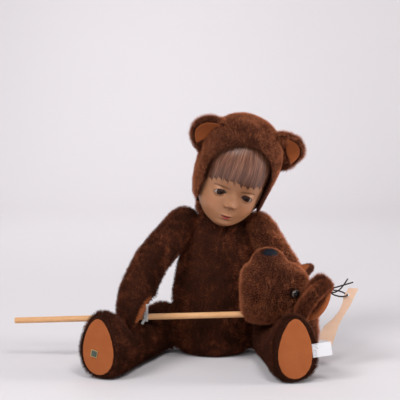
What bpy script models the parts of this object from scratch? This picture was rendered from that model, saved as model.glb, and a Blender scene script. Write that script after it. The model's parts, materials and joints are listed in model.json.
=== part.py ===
# A seated jointed doll in a plush bear suit, holding a hobby bear on a stick.
# Every length is written in millimetres and becomes metres through MM.
# The doll looks along -Y, its own left side is +X, and it sits on Z = 0.
import math

import bmesh
import bpy
from mathutils import Matrix, Vector

MM = 0.001

# Clearances
GAP = 0.3
SEAM_GAP = 0.15

# Facets round a pocket
POCKET_SIDES = 12

# A cutting block larger than the doll
SLAB_SIDE = 900.0

# Disc joints: hardboard discs, washers and a split pin bent over on one side
SHOULDER_DISC_DIAMETER = 30.0
HIP_DISC_DIAMETER = 36.0
NECK_DISC_DIAMETER = 28.0
DISC_THICKNESS = 3.0
SKIN_THICKNESS = 2.5
WASHER_DIAMETER = 13.0
WASHER_THICKNESS = 1.0
WIRE_DIAMETER = 1.8
PIN_LEG_GAP = 0.2
PIN_EYE_DIAMETER = 6.2
PIN_EYE_TAPER = math.radians(35)
PIN_HOOK_RADIUS = 1.9
PIN_TIP_LENGTH = 0.6

# Torso
TORSO_HEIGHT = 188.5
TORSO_LEAN = math.radians(4.5)
SHOULDER_HALF_SPACING = 39.5
SHOULDER_DROP = 24.5
SHOULDER_SLOPE = math.radians(25)
SHOULDER_FLAT_DIAMETER = 58.0
HIP_HALF_SPACING = 51.5
HIP_CENTRE_X = 2.7
HIP_Y = -6.0
HIP_HEIGHT = 35.0
HIP_FLAT_DIAMETER = 80.0

# Neck: two linked split pins let the head lean and turn on a rounded base
NECK_Y = 5.0
NECK_RISE = 14.5
NECK_BALL_DIAMETER = 44.0
NECK_STUB_HEIGHT = 36.0
NECK_PLATE_THICKNESS = 3.0
NECK_LEAN_ROOM = math.radians(19)
HEAD_LEAN = math.radians(11.5)
HEAD_TURN = math.radians(6)

# Doll head, in the skull's own frame
SKULL_FORWARD = 30.0
SKULL_UP = 51.5
SKULL_PITCH = math.radians(24)
HEAD_WALL = 3.2
DOLL_EYE_DIAMETER = 14.0
DOLL_EYE_HALF_SPACING = 17.5
DOLL_EYE_HEIGHT = -14.0
DOLL_EYE_DEPTH = 40.8

# Hood and its ears
HOOD_THICKNESS = 7.0
HOOD_CLEARANCE = 2.2
HOOD_HEM_HEIGHT = -4.0
FACE_OPENING_HALF_WIDTH = 42.0
FACE_OPENING_TOP = 58.0
FACE_OPENING_DEPTH = -8.0
FACE_OPENING_LENGTH = 120.0
HOOD_EAR_WIDTH = 57.0
HOOD_EAR_HEIGHT = 32.0
HOOD_EAR_DEPTH = 20.0
HOOD_EAR_RIM = 4.5
HOOD_EAR_RISE = math.radians(27)
EAR_FORWARD = 2.5
HOOD_EAR_ROOT_DEPTH = -2.0
HOOD_EAR_RIGHT_ROOT = (43.5, 38.0)
HOOD_EAR_LEFT_ROOT = (45.5, 44.0)
LINING_THICKNESS = 1.2

# Limbs
ARM_RIGHT_SWING = math.radians(40.5)
ARM_LEFT_SWING = math.radians(11)
LEG_RIGHT_SPLAY = math.radians(-23)
LEG_LEFT_SPLAY = math.radians(7)
SOLE_REACH = 172.0
FOOT_PAD_WIDTH = 42.0
FOOT_PAD_HEIGHT = 71.0
FOOT_PAD_EGG = 0.22
PAD_THICKNESS = 1.2
PAW_PAD_WIDTH = 32.0
PAW_PAD_LENGTH = 50.0
PAW_PAD_REACH = 144.0
PAW_PAD_SHIFT = 7.0
PAW_PAD_DEPTH = 22.0
BADGE_SIDE = 9.0
BADGE_THICKNESS = 0.8
BADGE_OFFSET = (-4.5, -8.0)
BADGE_TURN = math.radians(-12)
LABEL_LENGTH = 24.0
LABEL_WIDTH = 17.0
LABEL_THICKNESS = 0.5
LABEL_DROP = 1.0
LABEL_TURN = math.radians(7)

# Stick, its elastic loop and the hobby bear head
STICK_DIAMETER = 8.0
STICK_LEFT_REACH = 174.0
STICK_SOCKET_DEPTH = 58.0
STICK_AT_BAND = (-86.0, -68.0, 61.0)
HOBBY_NECK_DISTANCE = 128.0
STICK_HEADING = math.radians(-5.9)
STICK_RISE = math.radians(2.8)
BAND_WIDTH = 2.5
BAND_CLEARANCE = 0.95
BAND_THICKNESS = 0.8
BAND_TIP = 2.0
HOBBY_EYE_DIAMETER = 9.0
HOBBY_EYE_PLACE = (66.0, 26.5, 31.0)
HOBBY_NOSE_SIZE = (14.0, 11.0, 10.0)
HOBBY_NOSE_PLACE = (35.0, -8.0, 80.5)
HOBBY_EAR_RIGHT_SIZE = (66.0, 27.0, 24.0)
HOBBY_EAR_RIGHT_ROOT = (90.0, -16.0, 19.0)
HOBBY_EAR_LEFT_SIZE = (46.0, 24.0, 14.0)
HOBBY_EAR_LEFT_ROOT = (71.0, 23.0, 47.0)
TAG_THICKNESS = 0.6
TAG_HOLE_DIAMETER = 4.0
TAG_HOLE_PLACE = (172.0, -107.5, 98.0)
TIE_DIAMETER = 1.2

PLUSH = ((0.10, 0.035, 0.018), 0.95, 0.0)
FELT = ((0.55, 0.22, 0.08), 0.9, 0.0)
SKIN_VINYL = ((0.62, 0.38, 0.24), 0.45, 0.0)
GLASS = ((0.012, 0.008, 0.006), 0.08, 0.0)
THREAD = ((0.012, 0.016, 0.03), 0.6, 0.0)
STEEL = ((0.55, 0.55, 0.56), 0.35, 1.0)
HARDBOARD = ((0.30, 0.19, 0.10), 0.75, 0.0)
BEECH = ((0.72, 0.50, 0.27), 0.5, 0.0)
ELASTIC = ((0.80, 0.80, 0.76), 0.8, 0.0)
CARD = ((0.76, 0.62, 0.44), 0.8, 0.0)
RIBBON = ((0.05, 0.04, 0.04), 0.6, 0.0)
BADGE_ENAMEL = ((0.06, 0.10, 0.06), 0.35, 0.0)


def clear_scene():
    for obj in list(bpy.data.objects):
        bpy.data.objects.remove(obj, do_unlink=True)


def finish_of(name, look):
    colour, roughness, metallic = look
    material = bpy.data.materials.new(name)
    material.use_nodes = True
    shader = material.node_tree.nodes["Principled BSDF"]
    shader.inputs["Base Color"].default_value = (*colour, 1.0)
    shader.inputs["Roughness"].default_value = roughness
    shader.inputs["Metallic"].default_value = metallic
    return material


# A frame is a place in millimetres with a turn
def frame(x, y, z, turn=Matrix.Identity(4)):
    return Matrix.Translation(Vector((x, y, z)) * MM) @ turn


def turned(axis, angle):
    return Matrix.Rotation(angle, 4, axis)


def axis_empty(name, place, parent=None):
    empty = bpy.data.objects.new(name, None)
    empty.empty_display_size = 0.02
    bpy.context.collection.objects.link(empty)
    empty.parent = parent
    empty.matrix_local = place
    return empty


def put(obj, parent, place):
    bpy.context.collection.objects.link(obj)
    obj.parent = parent
    if place is not None:
        obj.matrix_local = place
    return obj


# A piece is a mesh drawn in millimetres, scaled to metres and given its own finish
def piece(name, bm, look, parent=None, place=None):
    bmesh.ops.scale(bm, vec=(MM, MM, MM), verts=bm.verts)
    bmesh.ops.recalc_face_normals(bm, faces=bm.faces)
    mesh = bpy.data.meshes.new(name)
    bm.to_mesh(mesh)
    bm.free()
    mesh.shade_smooth()
    mesh.set_sharp_from_angle(angle=math.radians(40))
    mesh.materials.append(finish_of(name, look))
    return put(bpy.data.objects.new(name, mesh), parent, place)


def cutter(name, bm, parent=None, place=None):
    obj = piece(name, bm, HARDBOARD, parent, place)
    obj.hide_render = True
    obj.display_type = "WIRE"
    return obj


def combine(target, tool, operation="DIFFERENCE"):
    step = target.modifiers.new(tool.name, "BOOLEAN")
    step.operation = operation
    step.solver = "EXACT"
    step.object = tool
    return target


# A smooth run of stations through the given ones
def flow(stations, steps):
    rows = [stations[0], *stations, stations[-1]]
    run = []
    for spot in range(len(stations) - 1):
        before, start, end, after = rows[spot : spot + 4]
        for step in range(steps):
            t = step / steps
            run.append(
                [
                    b + 0.5 * t * (c - a + t * (2 * a - 5 * b + 4 * c - d + t * (3 * (b - c) + d - a)))
                    for a, b, c, d in zip(before, start, end, after)
                ]
            )
    run.append(list(stations[-1]))
    return run


def outline(sides, crowd=0.0):
    turns = [2 * math.pi * side / sides for side in range(sides)]
    return [turn - crowd * math.cos(turn) for turn in turns]


# A closed body along Z through elliptical stations: height, centre x and y, half width and half depth
def loft(stations, sides, steps=1, grow=0.0, crowd=0.0):
    low, high = stations[0][0], stations[-1][0]
    middle = (low + high) / 2
    stretch = 1 + grow / abs(high - middle)
    bm = bmesh.new()
    loops = []
    for height, centre_x, centre_y, half_x, half_y, *egg in flow(stations, steps):
        height = middle + (height - middle) * stretch
        verts = []
        for turn in outline(sides, crowd):
            narrowed = 1 - sum(egg) * math.sin(turn)
            x = centre_x + (half_x + grow) * narrowed * math.cos(turn)
            y = centre_y + (half_y + grow) * math.sin(turn)
            verts.append(bm.verts.new((x, y, height)))
        loops.append([bm.edges.new((verts[side - 1], verts[side])) for side in range(sides)])
    for near, far in zip(loops, loops[1:]):
        bmesh.ops.bridge_loops(bm, edges=near + far)
    for end in (loops[0], loops[-1]):
        bmesh.ops.contextual_create(bm, geom=end)
    return bm


# A body of revolution about Z from a profile of radius and height
def lathe(profile, sides, closed=False):
    bm = bmesh.new()
    verts = [bm.verts.new((radius, 0, height)) for radius, height in profile]
    pairs = list(zip(verts, verts[1:]))
    if closed:
        pairs.append((verts[-1], verts[0]))
    edges = [bm.edges.new(pair) for pair in pairs]
    bmesh.ops.spin(
        bm,
        geom=verts + edges,
        cent=(0, 0, 0),
        axis=(0, 0, 1),
        angle=2 * math.pi,
        steps=sides,
        use_merge=True,
    )
    bmesh.ops.remove_doubles(bm, verts=bm.verts, dist=0.001)
    return bm


def drum(radius, low, high, sides):
    bm = bmesh.new()
    bmesh.ops.create_cone(
        bm, cap_ends=True, segments=sides, radius1=radius, radius2=radius, depth=high - low
    )
    bmesh.ops.translate(bm, vec=(0, 0, (low + high) / 2), verts=bm.verts)
    return bm


def block(size, centre):
    bm = bmesh.new()
    bmesh.ops.create_cube(bm, size=1.0)
    bmesh.ops.scale(bm, vec=size, verts=bm.verts)
    bmesh.ops.translate(bm, vec=centre, verts=bm.verts)
    return bm


# Everything below a height
def slab(top=0.0):
    return block((SLAB_SIDE, SLAB_SIDE, SLAB_SIDE), (0, 0, top - SLAB_SIDE / 2))


def ball(radius, squash=(1, 1, 1), centre=(0, 0, 0), sides=20, rings=12):
    bm = bmesh.new()
    bmesh.ops.create_uvsphere(bm, u_segments=sides, v_segments=rings, radius=radius)
    bmesh.ops.scale(bm, vec=squash, verts=bm.verts)
    bmesh.ops.translate(bm, vec=centre, verts=bm.verts)
    return bm


# A flat plate from an outline in X and Y, its back face at Z = 0
def plate(points, thickness):
    bm = bmesh.new()
    verts = [bm.verts.new((x, y, 0)) for x, y in points]
    face = bm.faces.new(verts)
    raised = bmesh.ops.extrude_face_region(bm, geom=[face], use_keep_orig=True)
    top = [item for item in raised["geom"] if isinstance(item, bmesh.types.BMVert)]
    bmesh.ops.translate(bm, vec=(0, 0, thickness), verts=top)
    return bm


def egg_points(width, height, egg, sides):
    points = []
    for turn in outline(sides):
        narrowed = 1 - egg * math.sin(turn)
        points.append((width / 2 * narrowed * math.cos(turn), height / 2 * math.sin(turn)))
    return points


def wire(name, points, diameter, look, parent=None, place=None):
    curve = bpy.data.curves.new(name, "CURVE")
    curve.dimensions = "3D"
    spline = curve.splines.new("POLY")
    spline.points.add(len(points) - 1)
    for spot, point in zip(spline.points, points):
        spot.co = (*(Vector(point) * MM), 1)
    curve.bevel_depth = diameter / 2 * MM
    curve.bevel_resolution = 1
    curve.use_fill_caps = True
    curve.materials.append(finish_of(name, look))
    return put(bpy.data.objects.new(name, curve), parent, place)


# Split pin


def pin_leg():
    return (WIRE_DIAMETER + PIN_LEG_GAP) / 2


def pin_bore():
    return pin_leg() + WIRE_DIAMETER / 2 + GAP


# How far below the eye's centre the taper meets the edge of a washer's bore
def eye_drop(eye_radius):
    rise = 1 / math.tan(PIN_EYE_TAPER)
    shank_top = -eye_radius * math.sin(PIN_EYE_TAPER)
    shank_top -= (eye_radius * math.cos(PIN_EYE_TAPER) - pin_leg()) * rise
    outer_x = pin_leg() + WIRE_DIAMETER / 2 * math.cos(PIN_EYE_TAPER)
    outer_z = shank_top - WIRE_DIAMETER / 2 * math.sin(PIN_EYE_TAPER)
    return -(outer_z + (pin_bore() - outer_x) * rise)


# One leg's hook, the shank, the eye and the other leg, as one wire in the X and Z plane
def pin_path(eye_centre, hook_face):
    eye_radius = PIN_EYE_DIAMETER / 2
    leg = pin_leg()
    hook_start = hook_face - GAP - PIN_TIP_LENGTH
    side = [(leg + 2 * PIN_HOOK_RADIUS, hook_face - GAP)]
    for step in range(5):
        turn = math.pi * step / 4
        x = leg + PIN_HOOK_RADIUS * (1 + math.cos(turn))
        side.append((x, hook_start - PIN_HOOK_RADIUS * math.sin(turn)))
    taper_x = eye_radius * math.cos(PIN_EYE_TAPER)
    taper_z = eye_centre - eye_radius * math.sin(PIN_EYE_TAPER)
    side.append((leg, taper_z - (taper_x - leg) / math.tan(PIN_EYE_TAPER)))
    for step in range(4):
        turn = -PIN_EYE_TAPER + (math.pi / 2 + PIN_EYE_TAPER) * step / 4
        side.append((eye_radius * math.cos(turn), eye_centre + eye_radius * math.sin(turn)))
    path = side + [(0, eye_centre + eye_radius)]
    path += [(-x, z) for x, z in reversed(side)]
    return [(x, 0, z) for x, z in path]


def hook_depth():
    return GAP + PIN_TIP_LENGTH + PIN_HOOK_RADIUS + WIRE_DIAMETER / 2


def hook_reach():
    return pin_leg() + 2 * PIN_HOOK_RADIUS + WIRE_DIAMETER / 2


def eye_depth():
    return GAP + eye_drop(PIN_EYE_DIAMETER / 2) + PIN_EYE_DIAMETER / 2 + WIRE_DIAMETER / 2


def hoop(name, diameter, thickness, height, look, parent, sides):
    bore = pin_bore()
    profile = [(bore, height), (diameter / 2, height)]
    profile += [(diameter / 2, height + thickness), (bore, height + thickness)]
    return piece(name, lathe(profile, sides, closed=True), look, parent)


# Where a joint's stack lies, counted from its seam along the axis
def stack(skin):
    disc = skin + GAP
    washer = disc + DISC_THICKNESS + GAP
    face = washer + WASHER_THICKNESS
    return disc, washer, face


# The room that a stack needs inside a stuffed part, opening through the pin's bore
def pocket(name, disc_diameter, skin, end_depth, end_radius, side, parent):
    disc, washer, face = stack(skin)
    across = 1 / math.cos(math.pi / POCKET_SIDES)
    wide = (disc_diameter / 2 + GAP) * across
    narrow = (max(WASHER_DIAMETER / 2, end_radius) + GAP) * across
    profile = [
        (0, -SKIN_THICKNESS),
        (pin_bore(), -SKIN_THICKNESS),
        (pin_bore(), skin),
        (wide, skin),
        (wide, washer - GAP / 2),
        (narrow, washer - GAP / 2),
        (narrow, face + end_depth + GAP),
        (0, face + end_depth + GAP),
    ]
    bm = lathe([(radius, side * height) for radius, height in profile], POCKET_SIDES)
    return cutter(name, bm, parent)


# Two discs, two washers and the pin of one limb joint, on the axis of their empty
def disc_joint(name, disc_diameter, axis, inner, outer):
    skin = SKIN_THICKNESS + SEAM_GAP
    disc, washer, face = stack(skin)
    for side, part, label in ((-1, inner, "inner"), (1, outer, "outer")):
        start = disc if side > 0 else -disc - DISC_THICKNESS
        hoop(f"{name}_{label}_disc", disc_diameter, DISC_THICKNESS, start, HARDBOARD, axis, 16)
        start = washer if side > 0 else -face
        label = f"{name}_{label}_washer"
        hoop(label, WASHER_DIAMETER, WASHER_THICKNESS, start, STEEL, axis, 10)
        depth = eye_depth() if side > 0 else hook_depth()
        reach = PIN_EYE_DIAMETER if side > 0 else hook_reach()
        room = pocket(f"cut_{label}", disc_diameter, skin, depth, reach, side, axis)
        combine(part, room)
    eye_centre = face + GAP + eye_drop(PIN_EYE_DIAMETER / 2)
    wire(f"{name}_pin", pin_path(eye_centre, -face), WIRE_DIAMETER, STEEL, axis)


# Torso: share of its height, centre x and y, half width and half depth
TORSO_STATIONS = (
    (-0.032, 0, -2, 33, 30),
    (0, 0, -2, 41, 37),
    (0.064, 0, -3, 50, 44),
    (0.17, 0, -4, 56, 49),
    (0.308, 0, -4.5, 57.5, 51),
    (0.467, 0, -4, 56, 49),
    (0.626, 0, -2, 52, 44.5),
    (0.753, 0, 0, 48.5, 39.5),
    (0.859, 0, 2, 46, 34.5),
    (0.939, 0, 4, 39, 28),
    (0.981, 0, 5.5, 32, 23.5),
    (1, 0, 6, 27.5, 20.5),
)

# Arm: distance towards the paw, centre x and y, half thickness and half width
ARM_STATIONS = (
    (-24, 13, 0, 4, 6),
    (-21, 13.5, 0, 11, 13),
    (-13, 14, 0, 17.5, 19.5),
    (0, 15, 0, 20.5, 23.5),
    (22, 18, 1, 21, 24),
    (48, 24, 2, 21, 23.5),
    (78, 28.5, 2, 21, 23),
    (106, 28, 0, 20.5, 22),
    (132, 26.5, -2, 19.5, 21.5),
    (152, 23.5, -3, 17, 19.5),
    (166, 21.5, -4, 11.5, 13.5),
    (172, 21, -4, 5, 6),
)

# Leg: distance towards the sole, centre x and height, half thickness and half height, egg shape
LEG_STATIONS = (
    (-31, 16, 0, 5, 8, 0),
    (-27, 16.5, 0, 14, 17, 0),
    (-17, 18, 0, 21, 26, 0),
    (0, 19, 0, 24, 31.5, 0),
    (25, 20.5, -3, 24.5, 30, 0),
    (55, 22.5, -6, 24.5, 28, 0),
    (85, 24.5, -8, 24.5, 27, 0),
    (108, 25.5, -8, 25.5, 27.5, 0),
    (126, 25.5, -5, 27, 30, 0.08),
    (144, 25, 4, 28.5, 39.5, 0.17),
    (160, 25, 7, 28.5, 42, 0.2),
    (169, 25, 7, 27, 40, 0.2),
    (SOLE_REACH, 25, 7, 25, 37.5, 0.2),
)

# Skull: height, centre x and y, half width and half depth
SKULL_STATIONS = (
    (-65.5, 0, -37, 5, 5),
    (-63, 0, -34, 14, 13),
    (-56, 0, -25, 26, 25),
    (-44, 0, -14, 36, 37),
    (-30, 0, -5, 41.5, 45),
    (-12, 0, 1, 44.5, 52),
    (8, 0, 2, 46, 55),
    (28, 0, 1, 45.5, 51),
    (46, 0, 0, 38, 42),
    (58, 0, 0, 26.5, 29),
    (64, 0, 0, 13.5, 15),
    (66, 0, 0, 5, 6),
)

# Face relief: centre x and height, spread across and up, and push towards the front
FACE_RELIEF = (
    (0, -17, 3.8, 8, 3.5),
    (0, -26, 5.5, 4.6, 6.0),
    (0, -43, 11, 7, 1.8),
    (0, -42.6, 6.0, 1.8, 1.3),
    (0, -47, 5.5, 2.2, 1.6),
    (0, -57, 10, 5, 2.5),
    (-23, -34, 11, 11, 2.4),
    (23, -34, 11, 11, 2.4),
    (-17.5, -14, 9, 6, -3.4),
    (17.5, -14, 9, 6, -3.4),
    (0, 20, 22, 16, 1.5),
)

# Hobby bear: along the stick, then the muzzle upwards
HOBBY_BODY_STATIONS = (
    (0, 27, 3, 23, 14),
    (3, 28, 2, 33, 20),
    (14, 29, 0, 39.5, 26),
    (34, 29.5, 0, 40.5, 29.5),
    (54, 30.5, 0, 37.5, 30),
    (70, 31.5, 0, 30, 26),
    (80, 32.5, 0, 19, 17),
    (84, 33, 0, 7, 7),
)
HOBBY_MUZZLE_STATIONS = (
    (38, 36, 0, 29, 27),
    (52, 36, 0, 26, 24),
    (66, 35.5, 0, 23, 21.5),
    (76, 34.5, 0, 19, 18),
    (82, 34, 0, 12.5, 12),
    (84.5, 34, 0, 5, 5),
)


def skull(grow=0.0, relief=False, sides=20, steps=1):
    bm = loft(SKULL_STATIONS, sides, steps, grow, crowd=0.35)
    if relief:
        for vert in bm.verts:
            if vert.co.y > 0:
                continue
            for across, up, spread_x, spread_z, push in FACE_RELIEF:
                away = ((vert.co.x - across) / spread_x) ** 2 + ((vert.co.z - up) / spread_z) ** 2
                vert.co.y -= push * math.exp(-away)
    return bm


def neck_stub(grow=0.0):
    radius = NECK_BALL_DIAMETER / 2 + grow
    profile = [(0, -radius)]
    for step in range(1, 6):
        turn = math.pi / 2 * step / 5
        profile.append((radius * math.sin(turn), -radius * math.cos(turn)))
    top = NECK_STUB_HEIGHT + grow
    profile += [(radius, top), (0, top)]
    return lathe(profile, 16)


def torso_piece():
    lean = turned("Y", TORSO_LEAN)
    stations = [(share * TORSO_HEIGHT, *rest) for share, *rest in TORSO_STATIONS]
    torso = piece("torso", loft(stations, 22, 1), PLUSH, None, lean)
    neck = axis_empty("neck_seat", frame(0, NECK_Y, TORSO_HEIGHT + NECK_RISE), torso)
    dish = cutter("cut_neck_dish", ball(NECK_BALL_DIAMETER / 2 + GAP, sides=20, rings=14), neck)
    combine(torso, dish)
    return torso, neck


def shoulder_axis(name, torso, side):
    slope = turned("Y", side * (math.pi / 2 - SHOULDER_SLOPE))
    place = frame(side * SHOULDER_HALF_SPACING, 0, TORSO_HEIGHT - SHOULDER_DROP, slope)
    return axis_empty(name, place, torso)


def hip_axis(name, side, splay):
    outward = turned("Z", splay) @ turned("Y", side * math.pi / 2)
    place = frame(HIP_CENTRE_X + side * HIP_HALF_SPACING, HIP_Y, HIP_HEIGHT, outward)
    return axis_empty(name, place)


# The torso is pressed flat where a limb's round end lies on it
def flat_seat(torso, name, diameter, axis):
    combine(torso, cutter(f"cut_{name}_seat", drum(diameter / 2, -SEAM_GAP, diameter, 24), axis))


def mirrored_loft(stations, side, sides, grow=0.0):
    rows = [(along, side * x, *rest) for along, x, *rest in stations]
    return loft(rows, sides, 1, grow)


# What lies on the torso's side of the seam is cut off a limb
def seam_cutter(name, axis):
    return cutter(name, slab(SEAM_GAP), axis)


# A limb's own frame: thickness along the hinge, length in the seam's plane
def limb_turn(side, length_axis):
    hinge = Vector((0, 0, 1)) * side
    length = Vector(length_axis)
    width = length.cross(hinge)
    return Matrix((hinge, width, length)).transposed().to_4x4()


def arm(name, torso, side, swing):
    axis = shoulder_axis(f"{name}_axis", torso, side)
    flat_seat(torso, name, SHOULDER_FLAT_DIAMETER, axis)
    hang = (side * math.cos(swing), -math.sin(swing), 0)
    place = limb_turn(side, hang)
    body = piece(name, mirrored_loft(ARM_STATIONS, side, 18), PLUSH, axis, place)
    combine(body, seam_cutter(f"cut_{name}_seam", axis))
    disc_joint(f"shoulder_{name[4:]}", SHOULDER_DISC_DIAMETER, axis, torso, body)
    return axis, place


# A felt pad lies on the inner side of the paw, cut from a thicker copy of the arm
def paw_pad(name, side, axis, place):
    grown = mirrored_loft(ARM_STATIONS, side, 18, GAP + PAD_THICKNESS)
    pad = piece(name, grown, FELT, axis, place)
    inside = mirrored_loft(ARM_STATIONS, side, 18, GAP)
    combine(pad, cutter(f"cut_{name}_inside", inside, axis, place))
    rim = plate(egg_points(PAW_PAD_WIDTH, PAW_PAD_LENGTH, 0, 24), PAW_PAD_DEPTH)
    palm = frame(0, PAW_PAD_SHIFT, PAW_PAD_REACH, turned("Y", side * math.pi / 2))
    keep = cutter(f"cut_{name}_rim", rim, axis, place @ palm @ turned("Z", math.pi / 2))
    combine(pad, keep, "INTERSECT")
    return pad


def leg(name, torso, floor, side, splay):
    axis = hip_axis(f"{name}_axis", side, splay)
    flat_seat(torso, name, HIP_FLAT_DIAMETER, axis)
    place = limb_turn(side, (0, -1, 0))
    body = piece(name, mirrored_loft(LEG_STATIONS, side, 18), PLUSH, axis, place)
    combine(body, seam_cutter(f"cut_{name}_seam", axis))
    combine(body, floor)
    disc_joint(f"hip_{name[4:]}", HIP_DISC_DIAMETER, axis, torso, body)
    return axis, place


# The middle of the sole, with Z pointing out of it
def sole_frame(side, place):
    along, centre_x, centre_y = LEG_STATIONS[-1][:3]
    return place @ frame(side * centre_x, centre_y, along)


def foot_pad(name, axis, sole):
    outline_points = egg_points(FOOT_PAD_WIDTH, FOOT_PAD_HEIGHT, FOOT_PAD_EGG, 24)
    return piece(name, plate(outline_points, PAD_THICKNESS), FELT, axis, sole @ frame(0, 0, GAP))


def foot_badge(axis, sole):
    half = BADGE_SIDE / 2
    square = [(-half, -half), (half, -half), (half, half), (-half, half)]
    spot = frame(*BADGE_OFFSET, 2 * GAP + PAD_THICKNESS, turned("Z", BADGE_TURN))
    piece("foot_badge", plate(square, BADGE_THICKNESS), BADGE_ENAMEL, axis, sole @ spot)


def sewn_label(axis, sole):
    start = FOOT_PAD_WIDTH / 2 + GAP
    half = LABEL_WIDTH / 2
    corners = [(0, -half), (LABEL_LENGTH, -half), (LABEL_LENGTH, half), (0, half)]
    spot = frame(start, -LABEL_DROP, GAP, turned("Z", LABEL_TURN))
    piece("sewn_label", plate(corners, LABEL_THICKNESS), ELASTIC, axis, sole @ spot)


# Neck: the lower pin stands in the torso, the upper one hangs in the head, and their eyes are linked
def neck_joint(torso, neck, lean):
    eye_radius = PIN_EYE_DIAMETER / 2
    dish = axis_empty("neck_dish_floor", frame(0, 0, -NECK_BALL_DIAMETER / 2 - GAP), neck)
    disc, washer, face = stack(SKIN_THICKNESS)
    hoop("neck_torso_disc", NECK_DISC_DIAMETER, DISC_THICKNESS, -disc - DISC_THICKNESS, HARDBOARD, dish, 16)
    hoop("neck_torso_washer", WASHER_DIAMETER, WASHER_THICKNESS, -face, STEEL, dish, 10)
    room = pocket("cut_neck_torso", NECK_DISC_DIAMETER, SKIN_THICKNESS, hook_depth(), hook_reach(), -1, dish)
    combine(torso, room)
    lower_eye = NECK_BALL_DIAMETER / 2 + GAP + WIRE_DIAMETER + GAP - eye_radius
    wire("neck_torso_pin", pin_path(lower_eye, -face), WIRE_DIAMETER, STEEL, dish)
    plate_bottom = neck_plate_bottom()
    disc, washer, face = [plate_bottom + depth for depth in stack(NECK_PLATE_THICKNESS)]
    hoop("neck_head_disc", NECK_DISC_DIAMETER, DISC_THICKNESS, disc, HARDBOARD, lean, 16)
    hoop("neck_head_washer", WASHER_DIAMETER, WASHER_THICKNESS, washer, STEEL, lean, 10)
    upright = turned("Z", math.pi / 2) @ turned("X", math.pi)
    wire("neck_head_pin", pin_path(-eye_radius, -face), WIRE_DIAMETER, STEEL, lean, upright)


def neck_plate_bottom():
    return PIN_EYE_DIAMETER + WIRE_DIAMETER / 2 + 1.4


def doll_head(turn, skull_frame):
    head = piece("doll_head", skull(relief=True, sides=28, steps=2), SKIN_VINYL, turn, skull_frame)
    combine(head, cutter("join_neck_stub", neck_stub(), turn), "UNION")
    plate_bottom = neck_plate_bottom()
    plate_top = plate_bottom + NECK_PLATE_THICKNESS
    hollow = cutter("cut_head_hollow", skull(-HEAD_WALL, sides=16), turn, skull_frame)
    below = cutter("cut_below_plate", slab(plate_top), turn)
    combine(hollow, below)
    combine(head, hollow)
    wide = NECK_DISC_DIAMETER / 2 + GAP
    tall = NECK_STUB_HEIGHT - HEAD_WALL
    profile = [(0, 0), (pin_bore(), 0), (pin_bore(), plate_top), (wide, plate_top), (wide, tall), (0, tall)]
    combine(head, cutter("cut_disc_room", lathe(profile, 20), turn))
    combine(head, cutter("cut_link_room", ball(plate_bottom, sides=12, rings=8), turn))
    depth = NECK_BALL_DIAMETER / 2 + 3
    mouth = pin_leg() + WIRE_DIAMETER / 2 + GAP + depth * math.tan(NECK_LEAN_ROOM)
    cone = [(0, 0), (pin_bore(), 0), (mouth, -depth), (0, -depth)]
    combine(head, cutter("cut_lean_room", lathe(cone, 16), turn))
    for side, label in ((-1, "right"), (1, "left")):
        centre = (side * DOLL_EYE_HALF_SPACING, -DOLL_EYE_DEPTH, DOLL_EYE_HEIGHT)
        socket = ball(DOLL_EYE_DIAMETER / 2 + GAP, centre=centre, sides=12, rings=8)
        combine(head, cutter(f"cut_eye_{label}", socket, turn, skull_frame))
        eye = ball(DOLL_EYE_DIAMETER / 2, centre=centre, sides=12, rings=8)
        piece(f"doll_eye_{label}", eye, GLASS, turn, skull_frame)
    return head


# The opening for the face, as an arch in X and Z
def face_opening():
    arch_foot = 8.0
    points = []
    for step in range(13):
        turn = math.pi * step / 12
        x = FACE_OPENING_HALF_WIDTH * math.cos(turn)
        points.append((x, arch_foot + (FACE_OPENING_TOP - arch_foot) * math.sin(turn)))
    jaw = ((0.97, -15), (0.95, -38), (1.15, -52))
    points += [(-FACE_OPENING_HALF_WIDTH * share, z) for share, z in jaw]
    points += [(FACE_OPENING_HALF_WIDTH * share, z) for share, z in reversed(jaw)]
    bm = plate(points, FACE_OPENING_LENGTH)
    bmesh.ops.transform(bm, matrix=turned("X", math.pi / 2), verts=bm.verts)
    bmesh.ops.translate(bm, vec=(0, FACE_OPENING_DEPTH, 0), verts=bm.verts)
    return bm


def hood_form(name, look, turn, skull_frame, grow, sides=22):
    form = piece(name, skull(grow, sides=sides), look, turn, skull_frame)
    combine(form, cutter(f"join_{name}_nape", neck_stub(grow), turn), "UNION")
    return form


def hood(turn, skull_frame):
    outer = GAP + HOOD_THICKNESS
    shell = hood_form("hood", PLUSH, turn, skull_frame, outer)
    inside = skull(HOOD_CLEARANCE, relief=True)
    combine(shell, cutter("cut_hood_inside", inside, turn, skull_frame))
    combine(shell, cutter("cut_hood_nape", neck_stub(GAP), turn))
    combine(shell, cutter("cut_face_opening", face_opening(), turn, skull_frame))
    combine(shell, cutter("cut_hood_hem", slab(HOOD_HEM_HEIGHT), turn))
    return shell


# A cupped plush ear with a felt lining, fitted to the head that carries it
def ear(name, parent, place, head_cutter, width, height, depth, rim):
    outer = (width / 2, depth / 2, height)
    hollow = (width / 2 - rim, depth / 2, height - rim)
    forward = -depth / 2 + EAR_FORWARD

    def cup(size, shrink):
        squash = tuple(side - shrink for side in size)
        return ball(1, squash, sides=14, rings=9)

    shell = piece(name, cup(outer, 0), PLUSH, parent, place)
    ahead = place @ frame(0, forward, 0)
    combine(shell, cutter(f"cut_{name}_cup", cup(hollow, 0), parent, ahead))
    combine(shell, head_cutter)
    lining = piece(f"{name}_lining", cup(hollow, GAP), FELT, parent, ahead)
    inner = cup(hollow, GAP + LINING_THICKNESS)
    combine(lining, cutter(f"cut_{name}_lining", inner, parent, ahead))
    combine(lining, cutter(f"keep_{name}_lining", cup(outer, GAP), parent, place), "INTERSECT")
    combine(lining, head_cutter)


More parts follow.
